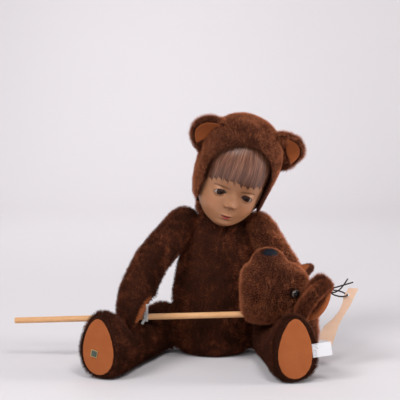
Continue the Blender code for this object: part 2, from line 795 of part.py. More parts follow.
def ear_frame(centre, outward, facing):
    outward = Vector(outward).normalized()
    back = -(Vector(facing) - Vector(facing).dot(outward) * outward).normalized()
    chord = back.cross(outward)
    turn = Matrix((chord, back, outward)).transposed().to_4x4()
    return frame(*centre, turn)


def hood_ears(turn, skull_frame):
    clear = GAP + HOOD_THICKNESS + GAP
    fitted = cutter("cut_hood_ears", skull(clear, sides=22), turn, skull_frame)
    for side, label, root in ((-1, "right", HOOD_EAR_RIGHT_ROOT), (1, "left", HOOD_EAR_LEFT_ROOT)):
        outward = (side * math.cos(HOOD_EAR_RISE), 0, math.sin(HOOD_EAR_RISE))
        centre = (side * root[0], HOOD_EAR_ROOT_DEPTH, root[1])
        place = skull_frame @ ear_frame(centre, outward, (side * 0.25, -1, 0))
        size = (HOOD_EAR_WIDTH, HOOD_EAR_HEIGHT, HOOD_EAR_DEPTH, HOOD_EAR_RIM)
        ear(f"hood_ear_{label}", turn, place, fitted, *size)


def stick_piece(stick_axis):
    radius = STICK_DIAMETER / 2
    chamfer = 0.6
    left = -STICK_LEFT_REACH
    right = HOBBY_NECK_DISTANCE + STICK_SOCKET_DEPTH - GAP
    profile = [
        (0, left),
        (radius - chamfer, left),
        (radius, left + chamfer),
        (radius, right - chamfer),
        (radius - chamfer, right),
        (0, right),
    ]
    return piece("stick", lathe(profile, 14), BEECH, stick_axis, turned("Y", math.pi / 2))


# The elastic loop goes round the stick and up to the nearest point of the paw pad
def wrist_band(stick_axis, pad):
    bpy.context.view_layer.update()
    to_pad = pad.matrix_world.inverted() @ stick_axis.matrix_world
    padded = pad.evaluated_get(bpy.context.evaluated_depsgraph_get())
    spot = padded.closest_point_on_mesh(to_pad.to_translation())[1]
    top = (to_pad.inverted() @ spot) / MM
    reach = math.hypot(top.y, top.z) - BAND_CLEARANCE
    heading = math.atan2(top.z, top.y)
    inner = STICK_DIAMETER / 2 + GAP
    loops = []
    for radius, tip in ((inner, reach - BAND_TIP), (inner + BAND_THICKNESS, reach)):
        open_angle = math.acos(radius / tip)
        points = [(tip * math.cos(heading), tip * math.sin(heading))]
        for step in range(17):
            turn = heading + open_angle + (2 * math.pi - 2 * open_angle) * step / 16
            points.append((radius * math.cos(turn), radius * math.sin(turn)))
        loops.append(points)
    bm = bmesh.new()
    edges = []
    for points in loops:
        verts = [bm.verts.new((-BAND_WIDTH / 2, y, z)) for y, z in points]
        edges.append([bm.edges.new((verts[spot - 1], verts[spot])) for spot in range(len(verts))])
    side = bmesh.ops.bridge_loops(bm, edges=edges[0] + edges[1])["faces"]
    raised = bmesh.ops.extrude_face_region(bm, geom=side, use_keep_orig=True)
    far = [item for item in raised["geom"] if isinstance(item, bmesh.types.BMVert)]
    bmesh.ops.translate(bm, vec=(BAND_WIDTH, 0, 0), verts=far)
    return piece("wrist_band", bm, ELASTIC, stick_axis)


def hobby_bear(stick_axis):
    hobby = axis_empty("hobby_frame", frame(HOBBY_NECK_DISTANCE, 0, 0), stick_axis)
    along = Matrix(((0, 0, 1), (0, -1, 0), (1, 0, 0))).to_4x4()
    head = piece("hobby_head", loft(HOBBY_BODY_STATIONS, 20), PLUSH, hobby, along)
    combine(head, cutter("join_hobby_muzzle", loft(HOBBY_MUZZLE_STATIONS, 18), hobby), "UNION")
    radius = STICK_DIAMETER / 2 + GAP
    socket = [(0, -10), (radius, -10), (radius, STICK_SOCKET_DEPTH), (0, STICK_SOCKET_DEPTH)]
    combine(head, cutter("cut_stick_socket", lathe(socket, 14), hobby, turned("Y", math.pi / 2)))
    eye_along, eye_across, eye_height = HOBBY_EYE_PLACE
    for side, label in ((-1, "right"), (1, "left")):
        centre = (eye_along, side * eye_across, eye_height)
        socket = ball(HOBBY_EYE_DIAMETER / 2 + GAP, centre=centre, sides=12, rings=8)
        combine(head, cutter(f"cut_hobby_eye_{label}", socket, hobby))
        eye = ball(HOBBY_EYE_DIAMETER / 2, centre=centre, sides=12, rings=8)
        piece(f"hobby_eye_{label}", eye, GLASS, hobby)
    spot = frame(*HOBBY_NOSE_PLACE)
    nose = tuple(side / 2 for side in HOBBY_NOSE_SIZE)
    clear = tuple(side + GAP for side in nose)
    combine(head, cutter("cut_hobby_nose", ball(1, clear, sides=12, rings=8), hobby, spot))
    piece("hobby_nose", ball(1, nose, sides=12, rings=8), THREAD, hobby, spot)
    fitted = cutter("cut_hobby_ears", loft(HOBBY_BODY_STATIONS, 20, grow=GAP), hobby, along)
    front = ear_frame(HOBBY_EAR_RIGHT_ROOT, (-0.2, -0.93, 0.2), (0.75, -0.35, -0.6))
    ear("hobby_ear_right", hobby, front, fitted, *HOBBY_EAR_RIGHT_SIZE, HOOD_EAR_RIM)
    back = ear_frame(HOBBY_EAR_LEFT_ROOT, (0.65, 0.65, 0.35), (0.1, 0.3, 1))
    ear("hobby_ear_left", hobby, back, fitted, *HOBBY_EAR_LEFT_SIZE, HOOD_EAR_RIM)
    return hobby


# The card tag stands upright in the XZ plane, its outline counted from the hole for the tie
TAG_OUTLINE = (
    (1, 8.5),
    (13, 8),
    (3, -14),
    (-6, -29),
    (-11, -39),
    (-14.5, -50),
    (-19.5, -66),
    (-25, -59),
    (-35, -58),
    (-34.5, -50),
    (-30, -41),
    (-18, -30),
    (-11, -21),
    (-6.5, -10),
    (-5.5, -2),
)

# The tie comes from one loose end past the ear, through the hole and back to the other end
TIE_RUN = (
    (-1, -4, 21),
    (-9, -3, 9),
    (-16, 1, 3),
    (-21.1, 5, 1.5),
    (-17, 3, -1),
    (-9, -2.5, -2),
    (-2, -3, -1),
    (-0.95, 0, 0),
    (-2.4, 3.5, 0.5),
    (-8, 5, 3),
    (-15, 7.5, 4),
    (-21.1, 9, 5.5),
    (-14, 8, 8),
    (7, 5, 15),
)


def swing_tag(stick_axis):
    tag_frame = stick_axis.matrix_local.inverted() @ frame(*TAG_HOLE_PLACE)
    upright = turned("X", math.pi / 2)
    card = piece("swing_tag", plate(TAG_OUTLINE, TAG_THICKNESS), CARD, stick_axis, tag_frame @ upright)
    hole = drum(TAG_HOLE_DIAMETER / 2, -2 * TAG_THICKNESS, 2 * TAG_THICKNESS, 12)
    combine(card, cutter("cut_tag_hole", hole, stick_axis, tag_frame @ upright))
    wire("tag_tie", flow(TIE_RUN, 3), TIE_DIAMETER, RIBBON, stick_axis, tag_frame)


def main():
    clear_scene()
    torso, neck = torso_piece()
    floor = cutter("cut_floor", slab())
    combine(torso, floor)
    pads = []
    for label, side, swing in (("right", -1, ARM_RIGHT_SWING), ("left", 1, ARM_LEFT_SWING)):
        axis, place = arm(f"arm_{label}", torso, side, swing)
        pads.append(paw_pad(f"paw_pad_{label}", side, axis, place))
    for label, side, splay in (("right", -1, LEG_RIGHT_SPLAY), ("left", 1, LEG_LEFT_SPLAY)):
        axis, place = leg(f"leg_{label}", torso, floor, side, splay)
        sole = sole_frame(side, place)
        foot_pad(f"foot_pad_{label}", axis, sole)
        if side < 0:
            foot_badge(axis, sole)
        else:
            sewn_label(axis, sole)
    lean = axis_empty("head_lean_axis", turned("Y", HEAD_LEAN), neck)
    turn = axis_empty("head_turn_axis", turned("Z", HEAD_TURN), lean)
    skull_frame = frame(0, -SKULL_FORWARD, SKULL_UP, turned("X", SKULL_PITCH))
    neck_joint(torso, neck, lean)
    doll_head(turn, skull_frame)
    hood(turn, skull_frame)
    hood_ears(turn, skull_frame)
    heading = turned("Z", STICK_HEADING) @ turned("Y", -STICK_RISE)
    stick_axis = axis_empty("stick_axis", frame(*STICK_AT_BAND, heading))
    stick_piece(stick_axis)
    wrist_band(stick_axis, pads[0])
    hobby_bear(stick_axis)
    swing_tag(stick_axis)


main()
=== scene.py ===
import json
import math

import bmesh
import bpy
import numpy as np
from mathutils import Matrix, Vector, noise
from mathutils.bvhtree import BVHTree


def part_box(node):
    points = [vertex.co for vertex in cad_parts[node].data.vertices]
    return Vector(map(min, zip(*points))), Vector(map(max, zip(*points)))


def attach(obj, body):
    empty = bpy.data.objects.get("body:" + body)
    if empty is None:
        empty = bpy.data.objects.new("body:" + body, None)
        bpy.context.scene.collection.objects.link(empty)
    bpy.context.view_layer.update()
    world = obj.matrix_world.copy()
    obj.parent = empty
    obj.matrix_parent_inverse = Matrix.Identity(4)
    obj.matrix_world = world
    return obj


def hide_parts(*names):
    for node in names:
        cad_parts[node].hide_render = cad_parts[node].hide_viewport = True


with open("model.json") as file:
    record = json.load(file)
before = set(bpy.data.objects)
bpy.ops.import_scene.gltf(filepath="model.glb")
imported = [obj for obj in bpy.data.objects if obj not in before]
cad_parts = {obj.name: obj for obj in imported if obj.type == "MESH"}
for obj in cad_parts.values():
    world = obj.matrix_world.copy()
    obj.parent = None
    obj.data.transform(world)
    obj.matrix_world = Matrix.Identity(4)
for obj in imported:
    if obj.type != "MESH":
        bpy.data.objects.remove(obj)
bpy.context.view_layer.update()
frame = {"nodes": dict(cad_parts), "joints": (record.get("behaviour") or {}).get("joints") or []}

joints = {joint["name"]: joint for joint in frame["joints"]}
mm = 0.001
print("frame loaded")


# small tools

def makeObject(name, mesh):
    obj = bpy.data.objects.new(name, mesh)
    bpy.context.collection.objects.link(obj)
    return obj


def meshObject(name, bm, smoothAngle=180):
    mesh = bpy.data.meshes.new(name)
    bm.to_mesh(mesh)
    bm.free()
    mesh.shade_smooth()
    mesh.set_sharp_from_angle(angle=math.radians(smoothAngle))
    return makeObject(name, mesh)


def applyModifiers(obj):
    graph = bpy.context.evaluated_depsgraph_get()
    mesh = bpy.data.meshes.new_from_object(
        obj.evaluated_get(graph), preserve_all_data_layers=True, depsgraph=graph
    )
    obj.modifiers.clear()
    obj.data = mesh


def modifier(obj, kind, **settings):
    step = obj.modifiers.new(kind.lower(), kind)
    for key, value in settings.items():
        setattr(step, key, value)
    return step


def openMesh(obj):
    bm = bmesh.new()
    bm.from_mesh(obj.data)
    return bm


def storeMesh(bm, obj):
    bm.to_mesh(obj.data)
    bm.free()


def storeValue(obj, name, values):  # a number for each vertex
    obj.data.attributes.new(name, "FLOAT", "POINT").data.foreach_set("value", values)


def nodeCopy(name, node):  # a CAD node's mesh with its vertices merged, in place
    bm = openMesh(frame["nodes"][node])
    bmesh.ops.remove_doubles(bm, verts=bm.verts, dist=1e-5)
    return meshObject(name, bm)


def camel(node):  # hood_ear_right becomes hoodEarRight
    first, *rest = node.split("_")
    return first + "".join(word.capitalize() for word in rest)


def keepLargest(obj):  # drops the loose inner shells that a remesh leaves
    bm = openMesh(obj)
    left = set(bm.verts)
    shells = []
    while left:
        queue = [left.pop()]
        shell = list(queue)
        while queue:
            for edge in queue.pop().link_edges:
                for vert in edge.verts:
                    if vert in left:
                        left.remove(vert)
                        shell.append(vert)
                        queue.append(vert)
        shells.append(shell)
    shells.sort(key=len)
    for shell in shells[:-1]:
        bmesh.ops.delete(bm, geom=shell, context="VERTS")
    storeMesh(bm, obj)


def joinMesh(obj, extra):  # extra's mesh goes into obj's
    bm = openMesh(obj)
    bm.from_mesh(extra.data)
    storeMesh(bm, obj)
    bpy.data.objects.remove(extra)


def boxMiddle(node):
    low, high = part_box(node)
    return (Vector(low) + Vector(high)) / 2


def moveVerts(obj, moves):
    for vert, move in zip(obj.data.vertices, moves):
        vert.co += move


def onSkin(way, normal):  # the part of a direction that lies along the surface
    return way - way.dot(normal) * normal


def skinRows(bm, rows):  # a tube through rings of vertices, with its ends closed
    for first, second in zip(rows, rows[1:]):
        for spot in range(len(first)):
            bm.faces.new((first[spot - 1], first[spot], second[spot], second[spot - 1]))
    bm.faces.new(rows[0])
    bm.faces.new(rows[-1])
    bmesh.ops.recalc_face_normals(bm, faces=bm.faces)


def soften(obj, settings):  # one even skin, with its edges and steps rounded off
    modifier(obj, "REMESH", mode="VOXEL", voxel_size=settings["voxel"], use_smooth_shade=True)
    applyModifiers(obj)
    keepLargest(obj)
    modifier(obj, "SMOOTH", factor=0.5, iterations=settings["smooth"])
    applyModifiers(obj)
    obj.data.shade_smooth()


def finishPiece(obj, body, material, replaced=()):
    obj.data.materials.clear()
    obj.data.materials.append(material)
    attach(obj, body)
    if replaced:
        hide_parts(*replaced)


# materials

def startMaterial(name):
    material = bpy.data.materials.new(name)
    material.use_nodes = True
    tree = material.node_tree
    shader = tree.nodes["Principled BSDF"]
    return material, tree, shader


def setSockets(node, values):  # each gets a value, or a link from another node's socket
    for socket, value in values.items():
        if isinstance(value, bpy.types.NodeSocket):
            node.id_data.links.new(value, node.inputs[socket])
        else:
            node.inputs[socket].default_value = value


def addNode(tree, kind, values=None, **settings):
    node = tree.nodes.new(kind)
    for key, value in settings.items():
        setattr(node, key, value)
    setSockets(node, values or {})
    return node


def ramp(tree, factor, stops):
    node = addNode(tree, "ShaderNodeValToRGB", {"Fac": factor})
    bar = node.color_ramp.elements
    while len(bar) < len(stops):
        bar.new(0.5)
    for element, (place, colour) in zip(bar, stops):
        element.position = place
        element.color = (*colour, 1)
    return node.outputs["Color"]


def objectPlace(tree, scale=(1, 1, 1)):
    place = addNode(tree, "ShaderNodeTexCoord").outputs["Object"]
    return addNode(tree, "ShaderNodeMapping", {"Vector": place, "Scale": scale}).outputs["Vector"]


def readValue(tree, name):  # an attribute of the mesh
    return addNode(tree, "ShaderNodeAttribute", attribute_name=name).outputs["Fac"]


def noiseAt(tree, place, scale, detail=2):
    return addNode(tree, "ShaderNodeTexNoise", {"Vector": place, "Scale": scale, "Detail": detail}).outputs


def mixColour(tree, factor, first, second, blend="MIX"):
    links = {0: factor, 6: first, 7: second}
    return addNode(tree, "ShaderNodeMix", links, data_type="RGBA", blend_type=blend).outputs[2]


def mixValue(tree, factor, first, second):
    return addNode(tree, "ShaderNodeMix", {0: factor, 2: first, 3: second}, data_type="FLOAT").outputs[0]


def stepBetween(tree, value, low, high):  # 0 at low, 1 at high
    values = {"Value": value, "From Min": low, "From Max": high}
    return addNode(tree, "ShaderNodeMapRange", values).outputs["Result"]


def bump(tree, height, strength, distance):
    values = {"Height": height, "Strength": strength, "Distance": distance}
    return addNode(tree, "ShaderNodeBump", values).outputs["Normal"]


def fibreGroup():  # fine fibres and slow mottling, shared by felt, plush backing, tapes and card
    group = bpy.data.node_groups.new("fibres", "ShaderNodeTree")
    group.interface.new_socket("Vector", in_out="INPUT", socket_type="NodeSocketVector")
    for side, names in (("INPUT", ("Fine", "Slow", "Mottle")), ("OUTPUT", ("Tone", "Height"))):
        for name in names:
            group.interface.new_socket(name, in_out=side, socket_type="NodeSocketFloat")
    start = addNode(group, "NodeGroupInput").outputs
    fine = noiseAt(group, start["Vector"], start["Fine"], 3)["Fac"]
    slow = noiseAt(group, start["Vector"], start["Slow"])["Fac"]
    addNode(group, "NodeGroupOutput", {"Tone": mixValue(group, start["Mottle"], fine, slow), "Height": fine})
    return group


fibres = fibreGroup()


def fibreMaterial(name, settings):
    material, tree, shader = startMaterial(name)
    links = {"Vector": objectPlace(tree, settings.get("stretch", (1, 1, 1)))}
    links.update({"Fine": settings["fine"], "Slow": settings["slow"], "Mottle": settings["mottle"]})
    group = addNode(tree, "ShaderNodeGroup", links, node_tree=fibres).outputs
    setSockets(shader, {
        "Base Color": ramp(tree, group["Tone"], settings["stops"]),
        "Roughness": settings["roughness"], "Specular IOR Level": settings["specular"],
        "Sheen Weight": settings.get("sheen", 0.0), "Sheen Roughness": 0.5,
        "Normal": bump(tree, group["Height"], settings["bump"], settings["depth"]),
    })
    return material


backing = fibreMaterial("plushBacking", {
    "stops": ((0.3, (0.022, 0.007, 0.004)), (0.7, (0.055, 0.018, 0.010))),
    "fine": 700, "slow": 60, "mottle": 0.5, "roughness": 0.9, "specular": 0.05, "bump": 0.6, "depth": 0.001,
})
felt = fibreMaterial("feltTan", {
    "stops": ((0.25, (0.285, 0.078, 0.024)), (0.5, (0.34, 0.097, 0.031)), (0.75, (0.405, 0.124, 0.043))),
    "fine": 1300, "slow": 45, "mottle": 0.45, "roughness": 0.9, "specular": 0.05, "sheen": 0.04, "bump": 0.4,
    "depth": 0.0006,
})


def pileMaterial():
    material, tree, shader = startMaterial("mohairPile")
    tone = readValue(tree, "tone")
    # from dark roots to paler tips along each strand; the paler tips are painted light, for light shining
    # through the fibre ends
    root = ramp(tree, tone, (
        (0.0, (0.045, 0.012, 0.005)), (0.35, (0.14, 0.037, 0.016)), (0.8, (0.27, 0.078, 0.034)),
    ))
    tip = ramp(tree, tone, (
        (0.0, (0.060, 0.016, 0.007)), (0.3, (0.19, 0.050, 0.021)), (0.6, (0.34, 0.094, 0.038)),
        (1.0, (0.54, 0.190, 0.090)),
    ))
    colour = mixColour(tree, readValue(tree, "along"), root, tip)
    setSockets(shader, {"Base Color": colour, "Roughness": 0.6, "Specular IOR Level": 0.1})
    return material


pile = pileMaterial()
print("fabric materials made")


# mohair pile

pileSettings = {
    "strandRadius": 0.04, "patchScale": 45.0, "lockScale": 230.0, "lockDraw": (1, 1, 0.4),
    "stray": 0.15, "lockSway": 1.0, "swirlLength": 0.6, "lockLength": 0.7, "leastLength": 0.3,
    "turns": (0.0, 6.28), "lengths": (0.7, 1.15), "widths": (0.8, 1.4), "patchTone": 1.2, "lockTone": 1.0,
    "tones": (-0.75, -0.42), "pales": (0.5, 1.0), "quickShare": 0.35, "fullReach": 10.0, "fullLength": 1.7,
    "pressed": 0.25, "pressedBelow": 8 * mm,  # the pile is flat where the toy sits on it
}


def makeStrand():  # one short pointed hair, three sided, a unit tall
    bm = bmesh.new()
    radius = pileSettings["strandRadius"]
    bmesh.ops.create_cone(bm, cap_ends=True, cap_tris=False, segments=3, radius1=radius, radius2=0.0, depth=1)
    bmesh.ops.translate(bm, vec=(0, 0, 0.5), verts=bm.verts)
    bmesh.ops.remove_doubles(bm, verts=bm.verts, dist=1e-4)
    bmesh.ops.triangulate(bm, faces=bm.faces)
    strand = meshObject("strand", bm)
    storeValue(strand, "along", [vert.co.z for vert in strand.data.vertices])
    return strand


def makePileTree():
    tree = bpy.data.node_groups.new("pileTree", "GeometryNodeTree")
    numbers = {name: "Float" for name in ("Density", "Length", "Lift", "Wild", "Swirl", "Pale")}
    for name, kind in {"Geometry": "Geometry", "Strand": "Object", **numbers, "Seed": "Int"}.items():
        tree.interface.new_socket(name, in_out="INPUT", socket_type="NodeSocket" + kind)
    tree.interface.new_socket("Geometry", in_out="OUTPUT", socket_type="NodeSocketGeometry")

    def node(kind, values=None, **settings):
        return addNode(tree, kind, values, **settings).outputs

    def attribute(name, kind="FLOAT"):
        return node("GeometryNodeInputNamedAttribute", {"Name": name}, data_type=kind)["Attribute"]

    def maths(operation, first, second):
        return node("ShaderNodeMath", {0: first, 1: second}, operation=operation)[0]

    def vector(operation, first, second):
        return node("ShaderNodeVectorMath", {0: first, 1: second}, operation=operation)[0]

    def scaled(value, scale):
        return node("ShaderNodeVectorMath", {0: value, "Scale": scale}, operation="SCALE")[0]

    def centred(noise):
        return vector("SUBTRACT", noise["Color"], (0.5, 0.5, 0.5))

    def chance(key, seed):
        low, high = pileSettings[key]
        return node("FunctionNodeRandomValue", {2: low, 3: high, "Seed": seed}, data_type="FLOAT")[1]

    start = node("NodeGroupInput")
    density = maths("MULTIPLY", start["Density"], attribute("cover"))
    mesh = {"Mesh": start["Geometry"], "Density": density, "Seed": start["Seed"]}
    spread = node("GeometryNodeDistributePointsOnFaces", mesh)
    place = node("GeometryNodeInputPosition")[0]
    swirl = noiseAt(tree, place, start["Swirl"])
    patch = noiseAt(tree, place, pileSettings["patchScale"], 1)
    locks = noiseAt(tree, vector("MULTIPLY", place, pileSettings["lockDraw"]), pileSettings["lockScale"], 1)
    reach = pileSettings["stray"]
    strays = {0: (-reach, -reach, -reach), 1: (reach, reach, reach), "Seed": 3}
    way = scaled(spread["Normal"], start["Lift"])
    for push in (
        attribute("comb", "FLOAT_VECTOR"),
        scaled(centred(swirl), start["Wild"]),
        node("FunctionNodeRandomValue", strays, data_type="FLOAT_VECTOR")[0],
        scaled(centred(locks), pileSettings["lockSway"]),
    ):
        way = vector("ADD", way, push)
    aimed = node("FunctionNodeAlignRotationToVector", {"Vector": way}, axis="Z")[0]
    roll = node("FunctionNodeAxisAngleToRotation", {"Angle": chance("turns", 5)})[0]
    twist = {"Rotation": aimed, "Rotate By": roll}
    turned = node("FunctionNodeRotateRotation", twist, rotation_space="LOCAL")[0]
    curled = maths("MULTIPLY", swirl["Fac"], pileSettings["swirlLength"])
    locked = maths("MULTIPLY", locks["Fac"], pileSettings["lockLength"])
    tuft = maths("ADD", maths("ADD", curled, locked), pileSettings["leastLength"])
    length = start["Length"]
    for share in (tuft, attribute("trim"), chance("lengths", 7)):
        length = maths("MULTIPLY", length, share)
    wide = maths("MULTIPLY", length, chance("widths", 9))
    size = node("ShaderNodeCombineXYZ", {0: wide, 1: wide, 2: length})[0]
    strand = node("GeometryNodeObjectInfo", {"Object": start["Strand"]})["Geometry"]
    hairs = {"Points": spread["Points"], "Instance": strand, "Rotation": turned, "Scale": size}
    tone = maths("MULTIPLY", patch["Fac"], pileSettings["patchTone"])
    # each piece's own tone shift, scaled by a random share, is painted light and shade: it raises lit pieces
    # and lowers shaded ones
    for change in (
        maths("MULTIPLY", locks["Fac"], pileSettings["lockTone"]),
        chance("tones", 11),
        maths("MULTIPLY", start["Pale"], chance("pales", 13)),
    ):
        tone = maths("ADD", tone, change)
    toned = node(
        "GeometryNodeStoreNamedAttribute",
        {"Geometry": node("GeometryNodeInstanceOnPoints", hairs)[0], "Name": "tone", "Value": tone},
        data_type="FLOAT",
        domain="INSTANCE",
    )[0]
    whole = node("GeometryNodeRealizeInstances", {"Geometry": toned})[0]
    addNode(tree, "NodeGroupOutput", {"Geometry": whole})
    return tree


strandMesh = makeStrand()
pileTree = makePileTree()
strandCount = 0


def growPile(form, name, body, settings, combAt, coverAt=None, trimAt=None):
    global strandCount
    skin = makeObject(name, form.data.copy())
    mesh = skin.data
    comb = mesh.attributes.new("comb", "FLOAT_VECTOR", "POINT")
    cover = mesh.attributes.new("cover", "FLOAT", "POINT")
    trim = mesh.attributes.new("trim", "FLOAT", "POINT")
    least = pileSettings["pressed"]
    for index, vert in enumerate(mesh.vertices):
        comb.data[index].vector = combAt(vert.co, vert.normal)
        cover.data[index].value = coverAt(vert.co, vert.normal) if coverAt else 1.0
        pressed = min(1.0, least + (1 - least) * max(0.0, vert.co.z) / pileSettings["pressedBelow"])
        trim.data[index].value = pressed * (trimAt(vert.co, vert.normal) if trimAt else 1.0)
    step = modifier(skin, "NODES", node_group=pileTree)
    values = {key.capitalize(): settings.get(key, 0.0) for key in ("lift", "wild", "swirl", "pale", "seed")}
    values.update({"Strand": strandMesh, "Length": settings["length"] * mm})
    values["Density"] = settings["perCm2"] * 1e4
    for item in pileTree.interface.items_tree:
        if item.in_out == "INPUT" and item.name in values:
            step[item.identifier] = values[item.name]
    applyModifiers(skin)
    skin.data.shade_smooth()
    strandCount += len(skin.data.polygons) // 4
    print(name, len(skin.data.polygons), "faces")
    finishPiece(skin, body, pile)


def nearTest(nodes, reach, inside=0.0, outside=1.0):  # a mask that is low close to the named CAD nodes
    trees = []
    for node in nodes:
        mesh = frame["nodes"][node].data
        mesh.calc_loop_triangles()
        points = [vert.co for vert in mesh.vertices]
        trees.append(BVHTree.FromPolygons(points, [tuple(tri.vertices) for tri in mesh.loop_triangles]))

    def test(co, normal):
        for tree in trees:
            if tree.find_nearest(co, reach * mm)[0] is not None:
                return inside
        return outside

    return test


feltGap = 1.6  # mm, no hair is planted closer to the felt
lapSettings = {"stays": 3.5, "slope": 3.0, "covered": 0.4}  # mm to felt without a rise, mm of slope, share


def crescent(node, way, start, bend):  # the plush laps over the felt except for a crescent on its outer side
    middle = boxMiddle(node)
    lined = nearTest([node], feltGap)
    close = nearTest([node], lapSettings["stays"])
    way = Vector(way).normalized()

    def share(co):
        offset = (co - middle) / mm
        across = offset.dot(way)
        ends = (offset - way * across).length_squared
        return min(1.0, max(0.0, (start + bend * ends - across) / lapSettings["slope"]))

    def cover(co, normal):
        return 1.0 if share(co) > lapSettings["covered"] else lined(co, normal)

    def rise(obj, amount):
        verts = obj.data.vertices
        lap = [share(vert.co) * (1 - close(vert.co, None)) * amount for vert in verts]
        moveVerts(obj, [vert.normal * reach for vert, reach in zip(verts, lap)])

    return cover, rise


def along(direction, strength):
    way = Vector(direction).normalized() * strength

    def comb(co, normal):
        return onSkin(way, normal)

    return comb


def awayFrom(centre, strength):

    def comb(co, normal):
        return onSkin((co - centre).normalized() * strength, normal)

    return comb


def lumps(obj, amount, scale, seed):
    shift = Vector((seed, seed * 0.7, 0))
    verts = obj.data.vertices
    moveVerts(obj, [vert.normal * noise.noise(vert.co * scale + shift) * amount for vert in verts])


def swell(obj, amount):
    moveVerts(obj, [vert.normal * amount for vert in obj.data.vertices])


def makeBall(name, centre, spans, turn=0.0):  # an ellipsoid, its upright axis tipped about Y, in mm
    bm = bmesh.new()
    bmesh.ops.create_uvsphere(bm, u_segments=32, v_segments=20, radius=1)
    bmesh.ops.scale(bm, vec=spans, verts=bm.verts)
    bmesh.ops.rotate(bm, cent=(0, 0, 0), matrix=Matrix.Rotation(turn, 3, "Y"), verts=bm.verts)
    bmesh.ops.translate(bm, vec=centre, verts=bm.verts)
    bmesh.ops.scale(bm, vec=(mm, mm, mm), verts=bm.verts)
    return meshObject(name, bm)


# stuffed forms

def jointLine(name):
    joint = joints[name]
    return Vector(joint["pos_m"]), Vector(joint["axis"]).normalized()


pocketSettings = {"radius": 0.0205, "low": 0.0006, "least": -0.001, "inTorso": 0.015, "inLimb": 0.022}


def closePockets(obj, lines):  # the joint rooms inside a form go, and their mouths are closed
    bm = openMesh(obj)
    for point, axis, depth in lines:
        inner = []
        for face in bm.faces:
            offsets = [vert.co - point for vert in face.verts]
            depths = [offset.dot(axis) for offset in offsets]
            spans = [(offset - axis * deep).length for offset, deep in zip(offsets, depths)]
            within = pocketSettings["low"] < max(depths) < depth and min(depths) > pocketSettings["least"]
            if within and max(spans) < pocketSettings["radius"]:
                inner.append(face)
        bmesh.ops.delete(bm, geom=inner, context="FACES")
    rims = [edge for edge in bm.edges if edge.is_boundary]
    bmesh.ops.holes_fill(bm, edges=rims, sides=0)
    storeMesh(bm, obj)


def stuffed(form, body, fill, *nodes):  # a padded plush form in place of its CAD solid
    finishPiece(form, body, backing, nodes)


def fullerAt(*places):  # longer pile where two stuffed forms meet at their discs
    discs = [node for node in frame["nodes"] if node.startswith(places) and node.endswith("_disc")]
    return nearTest(discs, pileSettings["fullReach"], pileSettings["fullLength"], 1.0)


def limb(name, cover, settings, outward, rise=None):
    point, axis = jointLine(name)
    form = nodeCopy(name + "Plush", name)
    closePockets(form, [(point, axis * outward, pocketSettings["inLimb"])])
    soften(form, settings)
    lumps(form, *settings["lumps"], settings["seed"])
    swell(form, settings.get("swell", 0.0))
    if rise:
        rise(form, settings["rise"])
    stuffed(form, name, settings["fill"], name)
    comb = along(settings["comb"], settings["combing"])
    growPile(form, name + "Pile", name, settings, comb, cover, fullerAt(*settings.get("discs", ())))


# The tone shift in each form's settings is painted light and shade: lower for the torso, right arm and legs
# that lie in shade, higher for the lit left arm, hood, ears and hobby head.
torsoSettings = {
    "voxel": 0.0028, "smooth": 12, "lumps": (1.0 * mm, 30, 4), "fill": 0.9,
    "perCm2": 78, "length": 5.6, "lift": 0.8, "wild": 1.7, "swirl": 85, "seed": 1, "pale": -0.4,
}


def makeTorso():
    form = nodeCopy("torsoPlush", "torso")
    lines = []
    for joint, inward in (("arm_right", -1), ("arm_left", 1), ("leg_right", -1), ("leg_left", 1)):
        point, axis = jointLine(joint)
        lines.append((point, axis * inward, pocketSettings["inTorso"]))
    closePockets(form, lines)
    soften(form, torsoSettings)
    lumps(form, *torsoSettings["lumps"])
    stuffed(form, "torso", torsoSettings["fill"], "torso")

    def comb(co, normal):
        return onSkin(Vector((co.x * 3, 0, -0.9)), normal)

    growPile(form, "torsoPile", "torso", torsoSettings, comb, None, fullerAt("hip"))


makeTorso()
print("torso made")

limbSettings = {
    "smooth": 10, "lumps": (0.8 * mm, 38), "rise": 3.2 * mm, "fill": 0.9,
    "length": 5.3, "lift": 0.8, "wild": 1.7, "swirl": 85, "combing": 0.85,
}
armSettings = {**limbSettings, "voxel": 0.0025, "perCm2": 105}
pawCover, pawRise = crescent("paw_pad_right", (0.8, 0, -0.6), 0, 0.012)
rightArm = {**armSettings, "comb": (-0.55, -0.3, -0.75), "seed": 11, "pale": -0.55}
limb("arm_right", pawCover, rightArm, 1, pawRise)
leftArm = {**armSettings, "comb": (0.4, -0.15, -0.9), "seed": 12, "swell": 0.5 * mm, "pale": 0.5}
limb("arm_left", nearTest(["paw_pad_left"], feltGap), leftArm, -1)
legSettings = {**limbSettings, "voxel": 0.0028, "perCm2": 100}
rightSole, leftSole = Vector((-0.39, -0.92, 0)), Vector((0.12, -0.99, 0))  # the way each sole faces
rightLeg = {**legSettings, "comb": rightSole, "seed": 21, "pale": -0.7, "discs": ("hip_right",)}
limb("leg_right", nearTest(["foot_pad_right"], feltGap), rightLeg, 1)
leftLeg = {**legSettings, "comb": leftSole, "seed": 22, "pale": -1.0, "discs": ("hip_left",)}
limb("leg_left", nearTest(["foot_pad_left"], feltGap), leftLeg, -1)
print("limbs made")


# head frame

neckPoint, neckAxis = jointLine("head_turn")
neckLean = math.atan2(neckAxis.x, neckAxis.z)
headSettings = {"turn": math.radians(6), "forward": 30 * mm, "up": 51.5 * mm, "pitch": math.radians(24)}
skullFrame = (
    Matrix.Translation(neckPoint)
    @ Matrix.Rotation(neckLean, 4, "Y")
    @ Matrix.Rotation(headSettings["turn"], 4, "Z")
    @ Matrix.Translation((0, -headSettings["forward"], headSettings["up"]))
    @ Matrix.Rotation(headSettings["pitch"], 4, "X")
)
toSkull = skullFrame.inverted()
skullCentre = skullFrame @ Vector((0, 0, 0))
skullPlace = skullFrame @ Matrix.Scale(mm, 4)  # for meshes that are made in mm


# doll head: a moulded vinyl face with painted hair

